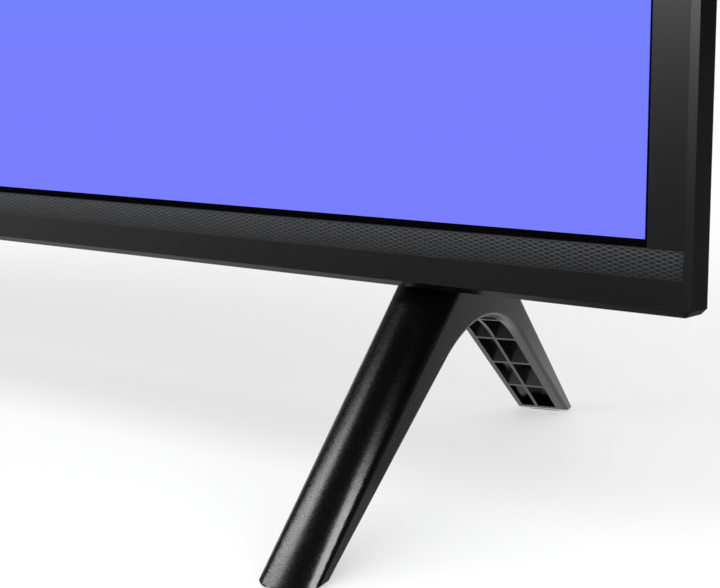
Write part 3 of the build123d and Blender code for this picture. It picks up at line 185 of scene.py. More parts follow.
def new_group(name, inputs, outputs):
    """An empty shader group with its sockets; inputs and outputs are (name, kind, default)."""
    group = bpy.data.node_groups.new(name, "ShaderNodeTree")
    for socket_name, kind, default in inputs:
        socket = group.interface.new_socket(socket_name, in_out="INPUT", socket_type=kind)
        socket.default_value = default
    for socket_name, kind in outputs:
        group.interface.new_socket(socket_name, in_out="OUTPUT", socket_type=kind)
    nodes = group.nodes
    return group, nodes.new("NodeGroupInput"), nodes.new("NodeGroupOutput")


def math_node(tree, operation, a, b=None, clamp=False):
    """A Math node; a and b are sockets or numbers."""
    node = tree.nodes.new("ShaderNodeMath")
    node.operation = operation
    node.use_clamp = clamp
    for socket, value in zip(node.inputs, (a, b)):
        if isinstance(value, bpy.types.NodeSocket):
            tree.links.new(value, socket)
        elif value is not None:
            socket.default_value = value
    return node.outputs[0]


def object_points(tree, size):
    """Surface points divided by a size, which is a socket."""
    place = tree.nodes.new("ShaderNodeTexCoord")
    scale = tree.nodes.new("ShaderNodeVectorMath")
    scale.operation = "SCALE"
    tree.links.new(place.outputs["Object"], scale.inputs[0])
    tree.links.new(math_node(tree, "DIVIDE", 1.0, size), scale.inputs["Scale"])
    return scale.outputs[0]


def noise(tree, points, detail=2.0, roughness=0.5):
    node = tree.nodes.new("ShaderNodeTexNoise")
    node.inputs["Scale"].default_value = 1.0
    node.inputs["Detail"].default_value = detail
    node.inputs["Roughness"].default_value = roughness
    tree.links.new(points, node.inputs["Vector"])
    return node.outputs["Fac"]


def build_grain_group():
    """Fine moulded grain: an even height and a mask of scattered specks."""
    group, ins, outs = new_group(
        "moulded grain",
        [("Grain Size", "NodeSocketFloat", 0.0004), ("Speck Share", "NodeSocketFloat", 0.05)],
        [("Height", "NodeSocketFloat"), ("Specks", "NodeSocketFloat")])
    points = object_points(group, ins.outputs["Grain Size"])
    group.links.new(noise(group, points, 1.0, 0.6), outs.inputs["Height"])
    cells = group.nodes.new("ShaderNodeTexVoronoi")
    cells.inputs["Scale"].default_value = 1.0
    group.links.new(points, cells.inputs["Vector"])
    tint = group.nodes.new("ShaderNodeSeparateColor")
    group.links.new(cells.outputs["Color"], tint.inputs[0])
    edge = math_node(group, "SUBTRACT", 1.0, ins.outputs["Speck Share"])
    chosen = math_node(group, "GREATER_THAN", tint.outputs[0], edge)
    near = math_node(group, "LESS_THAN", cells.outputs["Distance"], 0.45)
    group.links.new(math_node(group, "MULTIPLY", chosen, near), outs.inputs["Specks"])
    return group


def build_drift_group():
    """Slow change of colour and roughness over a surface."""
    group, ins, outs = new_group(
        "surface drift",
        [("Colour A", "NodeSocketColor", WHITE), ("Colour B", "NodeSocketColor", WHITE),
         ("Low Roughness", "NodeSocketFloat", 0.4), ("High Roughness", "NodeSocketFloat", 0.5),
         ("Patch Size", "NodeSocketFloat", 0.03)],
        [("Colour", "NodeSocketColor"), ("Roughness", "NodeSocketFloat")])
    share = noise(group, object_points(group, ins.outputs["Patch Size"]), 4.0, 0.55)
    mix = group.nodes.new("ShaderNodeMix")
    mix.data_type = "RGBA"
    group.links.new(share, mix.inputs["Factor"])
    group.links.new(ins.outputs["Colour A"], mix.inputs["A"])
    group.links.new(ins.outputs["Colour B"], mix.inputs["B"])
    group.links.new(mix.outputs["Result"], outs.inputs["Colour"])
    spread = math_node(group, "SUBTRACT", ins.outputs["High Roughness"], ins.outputs["Low Roughness"])
    rough = math_node(group, "MULTIPLY", share, spread)
    group.links.new(math_node(group, "ADD", rough, ins.outputs["Low Roughness"]), outs.inputs["Roughness"])
    return group


def build_brushed_group():
    """Fine parallel lines along X for rolled and brushed metal."""
    group, ins, outs = new_group(
        "brushed lines",
        [("Line Size", "NodeSocketFloat", 0.0003), ("Stretch", "NodeSocketFloat", 20.0)],
        [("Height", "NodeSocketFloat")])
    points = object_points(group, ins.outputs["Line Size"])
    split = group.nodes.new("ShaderNodeSeparateXYZ")
    join = group.nodes.new("ShaderNodeCombineXYZ")
    group.links.new(points, split.inputs[0])
    group.links.new(math_node(group, "DIVIDE", split.outputs[0], ins.outputs["Stretch"]), join.inputs[0])
    group.links.new(split.outputs[1], join.inputs[1])
    group.links.new(split.outputs[2], join.inputs[2])
    group.links.new(noise(group, join.outputs[0], 3.0), outs.inputs["Height"])
    return group


def build_tone_group():
    """The level that gloss sees in a direction: dark at the right rear, bright at the left rear."""
    group, ins, outs = new_group(
        "studio tone",
        [("Direction", "NodeSocketVector", (0.0, 0.0, 0.0)), ("Plain", "NodeSocketFloat", 0.3),
         ("Dark", "NodeSocketFloat", 0.07), ("Bright", "NodeSocketFloat", 1.1)],
        [("Level", "NodeSocketFloat")])
    level_ray = group.nodes.new("ShaderNodeVectorMath")
    level_ray.operation = "MULTIPLY"
    level_ray.inputs[1].default_value = (1.0, 1.0, 0.0)
    group.links.new(ins.outputs["Direction"], level_ray.inputs[0])
    unit = group.nodes.new("ShaderNodeVectorMath")
    unit.operation = "NORMALIZE"
    group.links.new(level_ray.outputs[0], unit.inputs[0])
    level = ins.outputs["Plain"]
    for azimuth, start, end, goal in LOBES:
        turn = math.radians(azimuth)
        facing = group.nodes.new("ShaderNodeVectorMath")
        facing.operation = "DOT_PRODUCT"
        facing.inputs[1].default_value = (math.cos(turn), math.sin(turn), 0)
        group.links.new(unit.outputs[0], facing.inputs[0])
        share = group.nodes.new("ShaderNodeMapRange")
        share.interpolation_type = "SMOOTHSTEP"
        share.inputs["From Min"].default_value = start
        share.inputs["From Max"].default_value = end
        group.links.new(facing.outputs["Value"], share.inputs["Value"])
        step = math_node(group, "MULTIPLY", math_node(group, "SUBTRACT", ins.outputs[goal], level),
                         share.outputs["Result"])
        level = math_node(group, "ADD", level, step)
    group.links.new(level, outs.inputs["Level"])
    return group


def shared_group(name):
    """A shared node group, built on first use."""
    builders = {"moulded grain": build_grain_group, "surface drift": build_drift_group,
                "brushed lines": build_brushed_group, "studio tone": build_tone_group}
    return bpy.data.node_groups.get(name) or builders[name]()


def place_group(tree, name, **values):
    """A group node in a material; values are its inputs, with _ for a space."""
    node = tree.nodes.new("ShaderNodeGroup")
    node.node_tree = shared_group(name)
    for key, value in values.items():
        node.inputs[key.replace("_", " ").title()].default_value = value
    return node


# Finishes

def colour4(colour):
    return (*colour[:3], 1.0)


def scaled(colour, share):
    return tuple(part * share for part in colour[:3])


def new_finish(name, specular=0.5, metallic=0.0):
    """A material with its shader alone."""
    finish = bpy.data.materials.new(name)
    finish.use_nodes = True
    shader = finish.node_tree.nodes["Principled BSDF"]
    shader.inputs["Specular IOR Level"].default_value = specular
    shader.inputs["Metallic"].default_value = metallic
    return finish, finish.node_tree, shader


def add_bump(tree, shader, height, distance, strength=1.0):
    bump = tree.nodes.new("ShaderNodeBump")
    bump.inputs["Distance"].default_value = distance
    bump.inputs["Strength"].default_value = strength
    tree.links.new(height, bump.inputs["Height"])
    tree.links.new(bump.outputs["Normal"], shader.inputs["Normal"])
    return bump


def plastic(name, colour, rough, grain=0.0004, depth=0.00002, specular=0.5, patch=0.03, drift=0.85):
    """Moulded plastic, rubber or lacquer: drifting colour and roughness under a fine grain."""
    finish, tree, shader = new_finish(name, specular)
    base = place_group(tree, "surface drift", colour_a=colour4(scaled(colour, drift)),
                       colour_b=colour4(scaled(colour, 2 - drift)), low_roughness=rough[0],
                       high_roughness=rough[1], patch_size=patch)
    tree.links.new(base.outputs["Colour"], shader.inputs["Base Color"])
    tree.links.new(base.outputs["Roughness"], shader.inputs["Roughness"])
    texture = place_group(tree, "moulded grain", grain_size=grain)
    add_bump(tree, shader, texture.outputs["Height"], depth)
    return finish


def metal(name, colour, rough, line=0.0003, stretch=20.0, depth=0.000004, patch=0.01):
    """Rolled, plated or cast metal."""
    finish, tree, shader = new_finish(name, metallic=1.0)
    base = place_group(tree, "surface drift", colour_a=colour4(scaled(colour, 0.92)),
                       colour_b=colour4(colour), low_roughness=rough[0], high_roughness=rough[1],
                       patch_size=patch)
    tree.links.new(base.outputs["Colour"], shader.inputs["Base Color"])
    tree.links.new(base.outputs["Roughness"], shader.inputs["Roughness"])
    lines = place_group(tree, "brushed lines", line_size=line, stretch=stretch)
    add_bump(tree, shader, lines.outputs["Height"], depth)
    return finish


def leg_black(colour):
    """Satin black with a fine metallic grain and a painted highlight: a pale line at the foot's front that
    stands in for the floor's reflection in the sole's edge.
    """
    speck_colour, speck_roughness = (0.048, 0.048, 0.049), 0.065
    sole_highlight_colour, sole_highlight_top, least_down, least_ahead = (0.6, 0.6, 0.6), 0.95 * MM, -0.3, -0.2
    finish, tree, shader = new_finish("leg satin black")
    base = place_group(tree, "surface drift", colour_a=colour4(scaled(colour, 0.8)), colour_b=colour4(colour),
                       low_roughness=0.21, high_roughness=0.22, patch_size=0.02)
    texture = place_group(tree, "moulded grain", grain_size=0.0003, speck_share=0.5)
    mix = tree.nodes.new("ShaderNodeMix")
    mix.data_type = "RGBA"
    mix.inputs["B"].default_value = colour4(speck_colour)
    tree.links.new(texture.outputs["Specks"], mix.inputs["Factor"])
    tree.links.new(base.outputs["Colour"], mix.inputs["A"])
    place = tree.nodes.new("ShaderNodeTexCoord")
    split = tree.nodes.new("ShaderNodeSeparateXYZ")
    tree.links.new(place.outputs["Object"], split.inputs[0])
    facing = tree.nodes.new("ShaderNodeSeparateXYZ")
    tree.links.new(tree.nodes.new("ShaderNodeNewGeometry").outputs["True Normal"], facing.inputs[0])
    # Painted highlight: faces in the sole's bottom 0.95 mm that face down and forward turn pale grey,
    # standing in for the floor's reflection in the edge
    low = math_node(tree, "LESS_THAN", split.outputs["Z"], sole_highlight_top)
    under = math_node(tree, "LESS_THAN", facing.outputs["Z"], least_down)
    ahead = math_node(tree, "LESS_THAN", facing.outputs["Y"], least_ahead)
    line = tree.nodes.new("ShaderNodeMix")
    line.data_type = "RGBA"
    line.inputs["B"].default_value = colour4(sole_highlight_colour)
    tree.links.new(math_node(tree, "MULTIPLY", low, math_node(tree, "MULTIPLY", under, ahead)),
                   line.inputs["Factor"])
    tree.links.new(mix.outputs["Result"], line.inputs["A"])
    tree.links.new(line.outputs["Result"], shader.inputs["Base Color"])
    rough = math_node(tree, "MULTIPLY", texture.outputs["Specks"], speck_roughness)
    tree.links.new(math_node(tree, "ADD", base.outputs["Roughness"], rough), shader.inputs["Roughness"])
    tree.links.new(texture.outputs["Specks"], shader.inputs["Metallic"])
    add_bump(tree, shader, texture.outputs["Height"], SATIN_DEPTH)
    return finish


def strip_black(lattice, diamond, foot, head):
    """The textured strip: lighter lattice lines over dark sunk diamonds, with painted shade making it darker
    towards its foot.
    """
    edge_sharpness, foot_painted_shade, head_painted_shade = 1.2, 0.30, 0.98
    finish, tree, shader = new_finish("textured strip", specular=0.2)
    ridge = tree.nodes.new("ShaderNodeAttribute")
    ridge.attribute_name = "ridge"
    base = place_group(tree, "surface drift", colour_a=colour4(scaled(diamond, 0.8)),
                       colour_b=colour4(diamond), low_roughness=0.38, high_roughness=0.46, patch_size=0.02)
    mix = tree.nodes.new("ShaderNodeMix")
    mix.data_type = "RGBA"
    mix.inputs["B"].default_value = colour4(lattice)
    tree.links.new(math_node(tree, "POWER", ridge.outputs["Fac"], edge_sharpness), mix.inputs["Factor"])
    tree.links.new(base.outputs["Colour"], mix.inputs["A"])
    place = tree.nodes.new("ShaderNodeTexCoord")
    split = tree.nodes.new("ShaderNodeSeparateXYZ")
    tree.links.new(place.outputs["Object"], split.inputs[0])
    # Painted shade: the colour is scaled from 0.30 at the strip's foot to 0.98 at its head, standing in for
    # light falling from above
    shade = tree.nodes.new("ShaderNodeMapRange")
    for socket, value in (("From Min", foot), ("From Max", head),
                          ("To Min", foot_painted_shade), ("To Max", head_painted_shade)):
        shade.inputs[socket].default_value = value
    tree.links.new(split.outputs["Z"], shade.inputs["Value"])
    dim = tree.nodes.new("ShaderNodeVectorMath")
    dim.operation = "SCALE"
    tree.links.new(mix.outputs["Result"], dim.inputs[0])
    tree.links.new(shade.outputs["Result"], dim.inputs["Scale"])
    tree.links.new(dim.outputs[0], shader.inputs["Base Color"])
    tree.links.new(base.outputs["Roughness"], shader.inputs["Roughness"])
    texture = place_group(tree, "moulded grain", grain_size=0.0003)
    add_bump(tree, shader, texture.outputs["Height"], SATIN_DEPTH)
    return finish


def lit_screen(settings):
    """Matt front film with the picture's even light inside a black border; bounced rays see it dark."""
    band_share, climb, film_depth = 0.5, 3.2, 0.000004
    finish, tree, shader = new_finish("lit screen", specular=0.0)
    shader.inputs["Base Color"].default_value = colour4((0.001, 0.001, 0.0012))
    shader.inputs["Emission Strength"].default_value = 1.0
    place = tree.nodes.new("ShaderNodeTexCoord")
    split = tree.nodes.new("ShaderNodeSeparateXYZ")
    tree.links.new(place.outputs["Object"], split.inputs[0])
    height = math_node(tree, "SUBTRACT", split.outputs["Z"], settings.lit_low)
    share = math_node(tree, "DIVIDE", height, settings.lit_height, clamp=True)
    bands = tree.nodes.new("ShaderNodeTexNoise")
    bands.noise_dimensions = "1D"
    bands.inputs["Scale"].default_value = 1.0
    bands.inputs["Detail"].default_value = 3.0
    tree.links.new(math_node(tree, "DIVIDE", height, settings.band_height), bands.inputs["W"])
    wander = math_node(tree, "SUBTRACT", bands.outputs["Fac"], 0.5)
    blend = math_node(tree, "ADD", math_node(tree, "MULTIPLY", wander, band_share),
                      math_node(tree, "MULTIPLY", share, climb), clamp=True)
    light = tree.nodes.new("ShaderNodeMix")
    light.data_type = "RGBA"
    light.inputs["A"].default_value = colour4(settings.colour_low)
    light.inputs["B"].default_value = colour4(settings.colour_high)
    tree.links.new(blend, light.inputs["Factor"])
    from_middle = math_node(tree, "ABSOLUTE", split.outputs["X"])
    side = math_node(tree, "LESS_THAN", from_middle, settings.lit_width / 2)
    over = math_node(tree, "GREATER_THAN", height, 0.0)
    under = math_node(tree, "LESS_THAN", height, settings.lit_height)
    inside = math_node(tree, "MULTIPLY", side, math_node(tree, "MULTIPLY", over, under))
    path = tree.nodes.new("ShaderNodeLightPath")
    bounced = math_node(tree, "ADD", path.outputs["Is Diffuse Ray"], path.outputs["Is Glossy Ray"],
                        clamp=True)
    inside = math_node(tree, "MULTIPLY", inside, math_node(tree, "SUBTRACT", 1.0, bounced))
    border = tree.nodes.new("ShaderNodeMix")
    border.data_type = "RGBA"
    border.inputs["A"].default_value = (0.0, 0.0, 0.0, 1.0)
    tree.links.new(inside, border.inputs["Factor"])
    tree.links.new(light.outputs["Result"], border.inputs["B"])
    tree.links.new(border.outputs["Result"], shader.inputs["Emission Color"])
    texture = place_group(tree, "moulded grain", grain_size=0.0002)
    add_bump(tree, shader, texture.outputs["Height"], film_depth)
    base = place_group(tree, "surface drift", low_roughness=0.42, high_roughness=0.48, patch_size=0.08)
    tree.links.new(base.outputs["Roughness"], shader.inputs["Roughness"])
    return finish


def dress(finish, *nodes):
    """Gives CAD nodes a finish."""
    for name in nodes:
        slots = frame["nodes"][name].data.materials
        slots.clear()
        slots.append(finish)


def new_piece(name, mesh, finish, body, slot, *stands_for):
    """Links a piece, gives it its finish and puts it on its body."""
    piece = bpy.data.objects.new(name, mesh)
    bpy.context.scene.collection.objects.link(piece)
    mesh.materials.append(finish)
    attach(piece, body)
    if stands_for:
        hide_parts(*stands_for)
    return piece


# Shapes

def clip_to_box(outline, low, high):
    """The part of a convex outline inside a rectangle; points are (x, z)."""
    for axis, limit, sign in ((0, low[0], 1), (0, high[0], -1), (1, low[1], 1), (1, high[1], -1)):
        kept = []
        for here, there in zip(outline, outline[1:] + outline[:1]):
            inside_here = sign * (here[axis] - limit) >= -1e-9
            inside_there = sign * (there[axis] - limit) >= -1e-9
            if inside_here:
                kept.append(here)
            if inside_here != inside_there:
                share = (limit - here[axis]) / (there[axis] - here[axis])
                kept.append(tuple(a + (b - a) * share for a, b in zip(here, there)))
        outline = kept
    tidy = []
    for point in outline:
        if not any(math.dist(point, other) < 1e-7 for other in tidy):
            tidy.append(point)
    return tidy


def lattice_mesh(low, high, settings):
    """A bar whose front carries a raised diamond lattice; its ridges lie in the box's front plane."""
    shape = bmesh.new()
    ridge = shape.verts.layers.float.new("ridge")
    pitch_x = (high.x - low.x) / settings.columns
    pitch_z = 2 * (high.z - low.z) / settings.rows
    corners = {}

    def corner(x, z):
        key = (round(x, 7), round(z, 7))
        if key not in corners:
            corners[key] = shape.verts.new((x, low.y, z))
            corners[key][ridge] = 1.0
        return corners[key]

    middles = [(low.x + (i + 0.5) * pitch_x, low.z + (j + 0.5) * pitch_z)
               for i in range(settings.columns) for j in range(settings.rows // 2 + 1)]
    middles += [(low.x + i * pitch_x, low.z + j * pitch_z)
                for i in range(settings.columns + 1) for j in range(settings.rows // 2 + 2)]
    for x, z in middles:
        diamond = [(x - pitch_x / 2, z), (x, z - pitch_z / 2), (x + pitch_x / 2, z), (x, z + pitch_z / 2)]
        outline = clip_to_box(diamond, (low.x, low.z), (high.x, high.z))
        if len(outline) < 3:
            continue
        mid_x = sum(p[0] for p in outline) / len(outline)
        mid_z = sum(p[1] for p in outline) / len(outline)
        rim = [corner(*p) for p in outline]
        sunk = [shape.verts.new((mid_x + (p[0] - mid_x) * settings.flat_share, low.y + settings.ridge_height,
                                 mid_z + (p[1] - mid_z) * settings.flat_share)) for p in outline]
        shape.faces.new(sunk)
        for i in range(len(rim)):
            j = (i + 1) % len(rim)
            shape.faces.new((rim[i], rim[j], sunk[j], sunk[i]))
    border = [edge for edge in shape.edges if edge.is_boundary]
    walls = bmesh.ops.extrude_edge_only(shape, edges=border)["geom"]
    for item in walls:
        if isinstance(item, bmesh.types.BMVert):
            item.co.y = high.y
            item[ridge] = 0.0
    bmesh.ops.holes_fill(shape, edges=[edge for edge in shape.edges if edge.is_boundary], sides=0)
    bmesh.ops.recalc_face_normals(shape, faces=shape.faces)
    mesh = bpy.data.meshes.new("textured_strip")
    shape.to_mesh(mesh)
    shape.free()
    return mesh


def islands(node):
    """The boxes of a CAD node's separate solids, as (lowest, highest) corners."""
    mesh = frame["nodes"][node].data
    owner = {}

    def root(key):
        while owner[key] != key:
            owner[key] = owner[owner[key]]
            key = owner[key]
        return key

    keys = [tuple(round(part, 6) for part in vertex.co) for vertex in mesh.vertices]
    for key in keys:
        owner[key] = key
    for face in mesh.polygons:
        first = root(keys[face.vertices[0]])
        for index in face.vertices[1:]:
            owner[root(keys[index])] = first
    groups = {}
    for key in owner:
        groups.setdefault(root(key), []).append(key)
    boxes = [(Vector(map(min, zip(*points))), Vector(map(max, zip(*points)))) for points in groups.values()]
    return sorted(boxes, key=lambda box: tuple(box[0]))


def spun(shape, profile, steps):
    """Spins a (radius, height) profile about Z into a closed form."""
    rings = []
    for radius, height in profile:
        if radius < 1e-9:
            rings.append([shape.verts.new((0, 0, height))])
        else:
            rings.append([shape.verts.new((radius * math.cos(math.tau * k / steps),
                                           radius * math.sin(math.tau * k / steps), height))
                          for k in range(steps)])
    for below, above in zip(rings, rings[1:]):
        for k in range(steps):
            n = (k + 1) % steps
            ends = [below[k % len(below)], below[n % len(below)],
                    above[n % len(above)], above[k % len(above)]]
            shape.faces.new(list(dict.fromkeys(ends)))


def screw_template(head_radius, head_height, shank_radius, length, steps=32):
    """A domed screw with a cross recess; its seat is at z 0, its head above and its tip below."""
    rim_share = 0.45
    shape = bmesh.new()
    dome = [(head_radius * math.cos(a), head_height * (rim_share + (1 - rim_share) * math.sin(a)))
            for a in (math.radians(v) for v in (0, 18, 36, 54, 72))]
    profile = [(0, -length), (shank_radius * 0.7, -length), (shank_radius, -length + shank_radius * 0.5),
               (shank_radius, 0), (head_radius, 0), *dome, (0, head_height)]
    spun(shape, profile, steps)
    bmesh.ops.recalc_face_normals(shape, faces=shape.faces)
    body = bpy.data.meshes.new("screw body")
    shape.to_mesh(body)
    shape.free()
    cutter = bmesh.new()
    arm, half, depth = head_radius * 0.52, head_radius * 0.12, head_height * 0.62
    for turn in (0, 1):
        bar = bmesh.ops.create_cube(cutter, size=1.0)["verts"]
        for vertex in bar:
            lower = vertex.co.z < 0
            taper = 0.45 if lower else 1.05
            vertex.co.x *= 2 * arm * taper
            vertex.co.y *= 2 * half * (0.8 if lower else 1.0)
            vertex.co.z = head_height - depth if lower else head_height * 1.2
            if turn:
                vertex.co.x, vertex.co.y = -vertex.co.y, vertex.co.x
    recess = bpy.data.meshes.new("screw recess")
    cutter.to_mesh(recess)
    cutter.free()
    solid = bpy.data.objects.new("screw body", body)
    tool = bpy.data.objects.new("screw recess", recess)
    for item in (solid, tool):
        bpy.context.scene.collection.objects.link(item)
    cut = solid.modifiers.new("recess", "BOOLEAN")
    cut.object = tool
    cut.operation = "DIFFERENCE"
    cut.solver = "EXACT"
    cut.use_self = True
    bpy.context.view_layer.update()
    made = bpy.data.meshes.new_from_object(solid.evaluated_get(bpy.context.evaluated_depsgraph_get()))
    for item in (solid, tool):
        bpy.data.objects.remove(item)
    return made


def screws_mesh(name, template, seats, turn):
    """Copies of one screw at their seats, turned the same way, each with its own spin."""
    shape = bmesh.new()
    for index, seat in enumerate(seats):
        before = len(shape.verts)
        shape.from_mesh(template)
        shape.verts.ensure_lookup_table()
        spin = Matrix.Rotation(index * 1.1, 4, "Z")
        move = Matrix.Translation(seat) @ turn @ spin
        bmesh.ops.transform(shape, matrix=move, verts=shape.verts[before:])
    for face in shape.faces:
        face.smooth = False
    mesh = bpy.data.meshes.new(name)
    shape.to_mesh(mesh)
    shape.free()
    return mesh


# The studio

def add_lamp(name, place, aim, along, size, power):
    """An area lamp; size is across and along, and along is the way its second side lies."""
    light = bpy.data.lights.new(name, "AREA")
    light.shape = "RECTANGLE"
    light.size, light.size_y = size
    light.energy = power
    lamp = bpy.data.objects.new(name, light)
    bpy.context.scene.collection.objects.link(lamp)
    lamp.location = place
    back = (place - aim).normalized()
    side = along.cross(back).normalized()
    lamp.rotation_euler = Matrix((side, back.cross(side), back)).transposed().to_euler()
    return lamp


def shown_rays(tree):
    """1 for rays from the camera, off gloss and through glass, else 0."""
    path = tree.nodes.new("ShaderNodeLightPath")
    first = math_node(tree, "ADD", path.outputs["Is Camera Ray"], path.outputs["Is Glossy Ray"])
    return math_node(tree, "ADD", first, path.outputs["Is Transmission Ray"], clamp=True)


class TV_OT_stage(bpy.types.Operator):
    """Make the pale floor, the world, the lamps and the camera"""
    bl_idname = "tv.stage"
    bl_label = "Studio and camera"

    def execute(self, context):
        scene = context.scene
        scene.view_settings.view_transform = "Standard"
        studio = scene.tv_studio
        world = bpy.data.worlds.new("studio")
        scene.world = world
        world.use_nodes = True
        tree = world.node_tree
        tree.nodes.clear()
        path = tree.nodes.new("ShaderNodeLightPath")
        lighting = tree.nodes.new("ShaderNodeBackground")
        lighting.inputs["Color"].default_value = WHITE
        backdrop = tree.nodes.new("ShaderNodeBackground")
        backdrop.inputs["Color"].default_value = WHITE
        sky = tree.nodes.new("ShaderNodeTexCoord")
        split = tree.nodes.new("ShaderNodeSeparateXYZ")
        tree.links.new(sky.outputs["Generated"], split.inputs[0])
        leaning = math_node(tree, "MULTIPLY", split.outputs["Y"], -studio.world_light * studio.lean)
        tree.links.new(math_node(tree, "ADD", leaning, studio.world_light), lighting.inputs["Strength"])
        tone = place_group(tree, "studio tone", plain=studio.horizon, dark=studio.dark_side,
                           bright=studio.bright_side)
        tree.links.new(sky.outputs["Generated"], tone.inputs["Direction"])
        fade = tree.nodes.new("ShaderNodeMapRange")
        fade.interpolation_type = "SMOOTHSTEP"
        fade.inputs["From Min"].default_value = math.sin(FADE_START)
        fade.inputs["From Max"].default_value = math.sin(FADE_END)
        tree.links.new(tone.outputs["Level"], fade.inputs["To Min"])
        fade.inputs["To Max"].default_value = studio.ceiling
        tree.links.new(split.outputs["Z"], fade.inputs["Value"])
        plain = math_node(tree, "SUBTRACT", 1.0, path.outputs["Is Glossy Ray"])
        seen = math_node(tree, "MULTIPLY", fade.outputs["Result"], SKY_SEEN)
        tree.links.new(math_node(tree, "MAXIMUM", plain, seen), backdrop.inputs["Strength"])
        mix = tree.nodes.new("ShaderNodeMixShader")
        tree.links.new(shown_rays(tree), mix.inputs["Fac"])
        tree.links.new(lighting.outputs[0], mix.inputs[1])
        tree.links.new(backdrop.outputs[0], mix.inputs[2])
        tree.links.new(mix.outputs[0], tree.nodes.new("ShaderNodeOutputWorld").inputs["Surface"])

        floor_shape = bmesh.new()
        bmesh.ops.create_grid(floor_shape, x_segments=1, y_segments=1, size=12.0)
        floor_mesh = bpy.data.meshes.new("studio floor")
        floor_shape.to_mesh(floor_mesh)
        floor_shape.free()
        floor = bpy.data.objects.new("studio_floor", floor_mesh)
        scene.collection.objects.link(floor)
        paper, tree, shader = new_finish("pale floor", specular=0.15)
        shader.inputs["Base Color"].default_value = colour4((0.86, 0.86, 0.86))
        shader.inputs["Roughness"].default_value = 0.6
        glow = tree.nodes.new("ShaderNodeEmission")
        glow.inputs["Color"].default_value = WHITE
        blend = tree.nodes.new("ShaderNodeMixShader")
        path = tree.nodes.new("ShaderNodeLightPath")
        gloss = path.outputs["Is Glossy Ray"]
        share = math_node(tree, "MULTIPLY", shown_rays(tree), studio.floor_glow)
        extra = math_node(tree, "MULTIPLY", gloss, FLOOR_SEEN_GLOW - studio.floor_glow)
        tree.links.new(math_node(tree, "ADD", share, extra), blend.inputs["Fac"])
        place = tree.nodes.new("ShaderNodeTexCoord")
        from_leg = tree.nodes.new("ShaderNodeVectorMath")
        from_leg.operation = "SUBTRACT"
        from_leg.inputs[1].default_value = (0.3, 0.0, 0.0)
        tree.links.new(place.outputs["Object"], from_leg.inputs[0])
        tone = place_group(tree, "studio tone", plain=studio.horizon, dark=studio.dark_side,
                           bright=studio.bright_side)
        tree.links.new(from_leg.outputs[0], tone.inputs["Direction"])
        seen = math_node(tree, "MULTIPLY", tone.outputs["Level"], FLOOR_SEEN)
        dim = math_node(tree, "MULTIPLY", gloss, math_node(tree, "SUBTRACT", seen, 1.0))
        tree.links.new(math_node(tree, "ADD", dim, 1.0), glow.inputs["Strength"])
        tree.links.new(shader.outputs[0], blend.inputs[1])
        tree.links.new(glow.outputs[0], blend.inputs[2])
        tree.links.new(blend.outputs[0], tree.nodes["Material Output"].inputs["Surface"])
        floor_mesh.materials.append(paper)

        # The two lamps behind give the legs their highlights and reach nothing else
        leg = Vector((0.27, -0.06, 0.03))
        up, leg_axis = Vector((0, 0, 1)), Vector((-0.24, 0.83, 0.51))
        legs = bpy.data.collections.new("lit by the lamps behind")
        for name in ("right_leg", "left_leg"):
            legs.objects.link(frame["nodes"][name])
        for name, azimuth, height, reach, along, size, power, on_matt in (
                ("left lamp", 175, 46, 1.3, leg_axis, (0.66, 0.28), studio.left_power, False),
                ("rear lamp", 32, 58, 1.3, leg_axis, (0.68, 0.44), studio.rear_power, False),
                ("front lamp", -136, 12.5, 2.2, up, (2.2, 0.6), studio.front_power, True),
                ("side lamp", -29, 10.2, 2.0, up, (0.8, 0.4), studio.side_power, True)):
            turn = (Matrix.Rotation(math.radians(azimuth), 3, "Z")
                    @ Matrix.Rotation(-math.radians(height), 3, "Y"))
            lamp = add_lamp(name, leg + turn @ Vector((reach, 0, 0)), leg, along, size, power)
            lamp.visible_diffuse = on_matt
            if not on_matt:
                lamp.light_linking.receiver_collection = legs

        settings = scene.tv_camera
        camera_data = bpy.data.cameras.new("camera")
        camera_data.sensor_width = 36.0
        camera_data.lens = settings.lens
        camera_data.clip_start = 0.01
        camera = bpy.data.objects.new("camera", camera_data)
        scene.collection.objects.link(camera)
        camera.location = settings.place
        camera.rotation_euler = (math.pi / 2 - settings.pitch, 0.0, settings.azimuth)
        scene.camera = camera
        return {"FINISHED"}


class TV_OT_front(bpy.types.Operator):
    """Finish the bezel, the receiver window and the lit screen"""
    bl_idname = "tv.front"
    bl_label = "Bezel and screen"

    def execute(self, context):
        colours = context.scene.tv_finish
        dress(plastic("bezel satin black", colours.bezel, (0.20, 0.24), grain=0.00022, depth=0.000003,
                      specular=0.25), "front_bezel")
        dress(plastic("smoked window", (0.012, 0.008, 0.009), (0.08, 0.14), grain=0.001, depth=0.000002),
              "receiver_window")
        dress(lit_screen(context.scene.tv_screen), "lcd_panel")
        return {"FINISHED"}


class TV_OT_strip(bpy.types.Operator):
    """Make the textured strip under the screen with its raised diamond lattice"""
    bl_idname = "tv.strip"
    bl_label = "Textured strip"

    def execute(self, context):
        colours = context.scene.tv_finish
        low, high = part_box("trim_strip")
        mesh = lattice_mesh(low, high, context.scene.tv_strip)
        new_piece("textured_strip", mesh, strip_black(colours.lattice, colours.diamond, low.z, high.z), "set",
                  "strip_plastic", "trim_strip")
        return {"FINISHED"}


class TV_OT_legs(bpy.types.Operator):
    """Finish the legs and their rubber pads"""
    bl_idname = "tv.legs"
    bl_label = "Legs and pads"

    def execute(self, context):
        dress(leg_black(context.scene.tv_finish.leg), "right_leg", "left_leg")
        dress(plastic("pad rubber", (0.03, 0.03, 0.03), (0.75, 0.85), grain=0.0005, specular=0.3),
              "foot_pads")
        return {"FINISHED"}


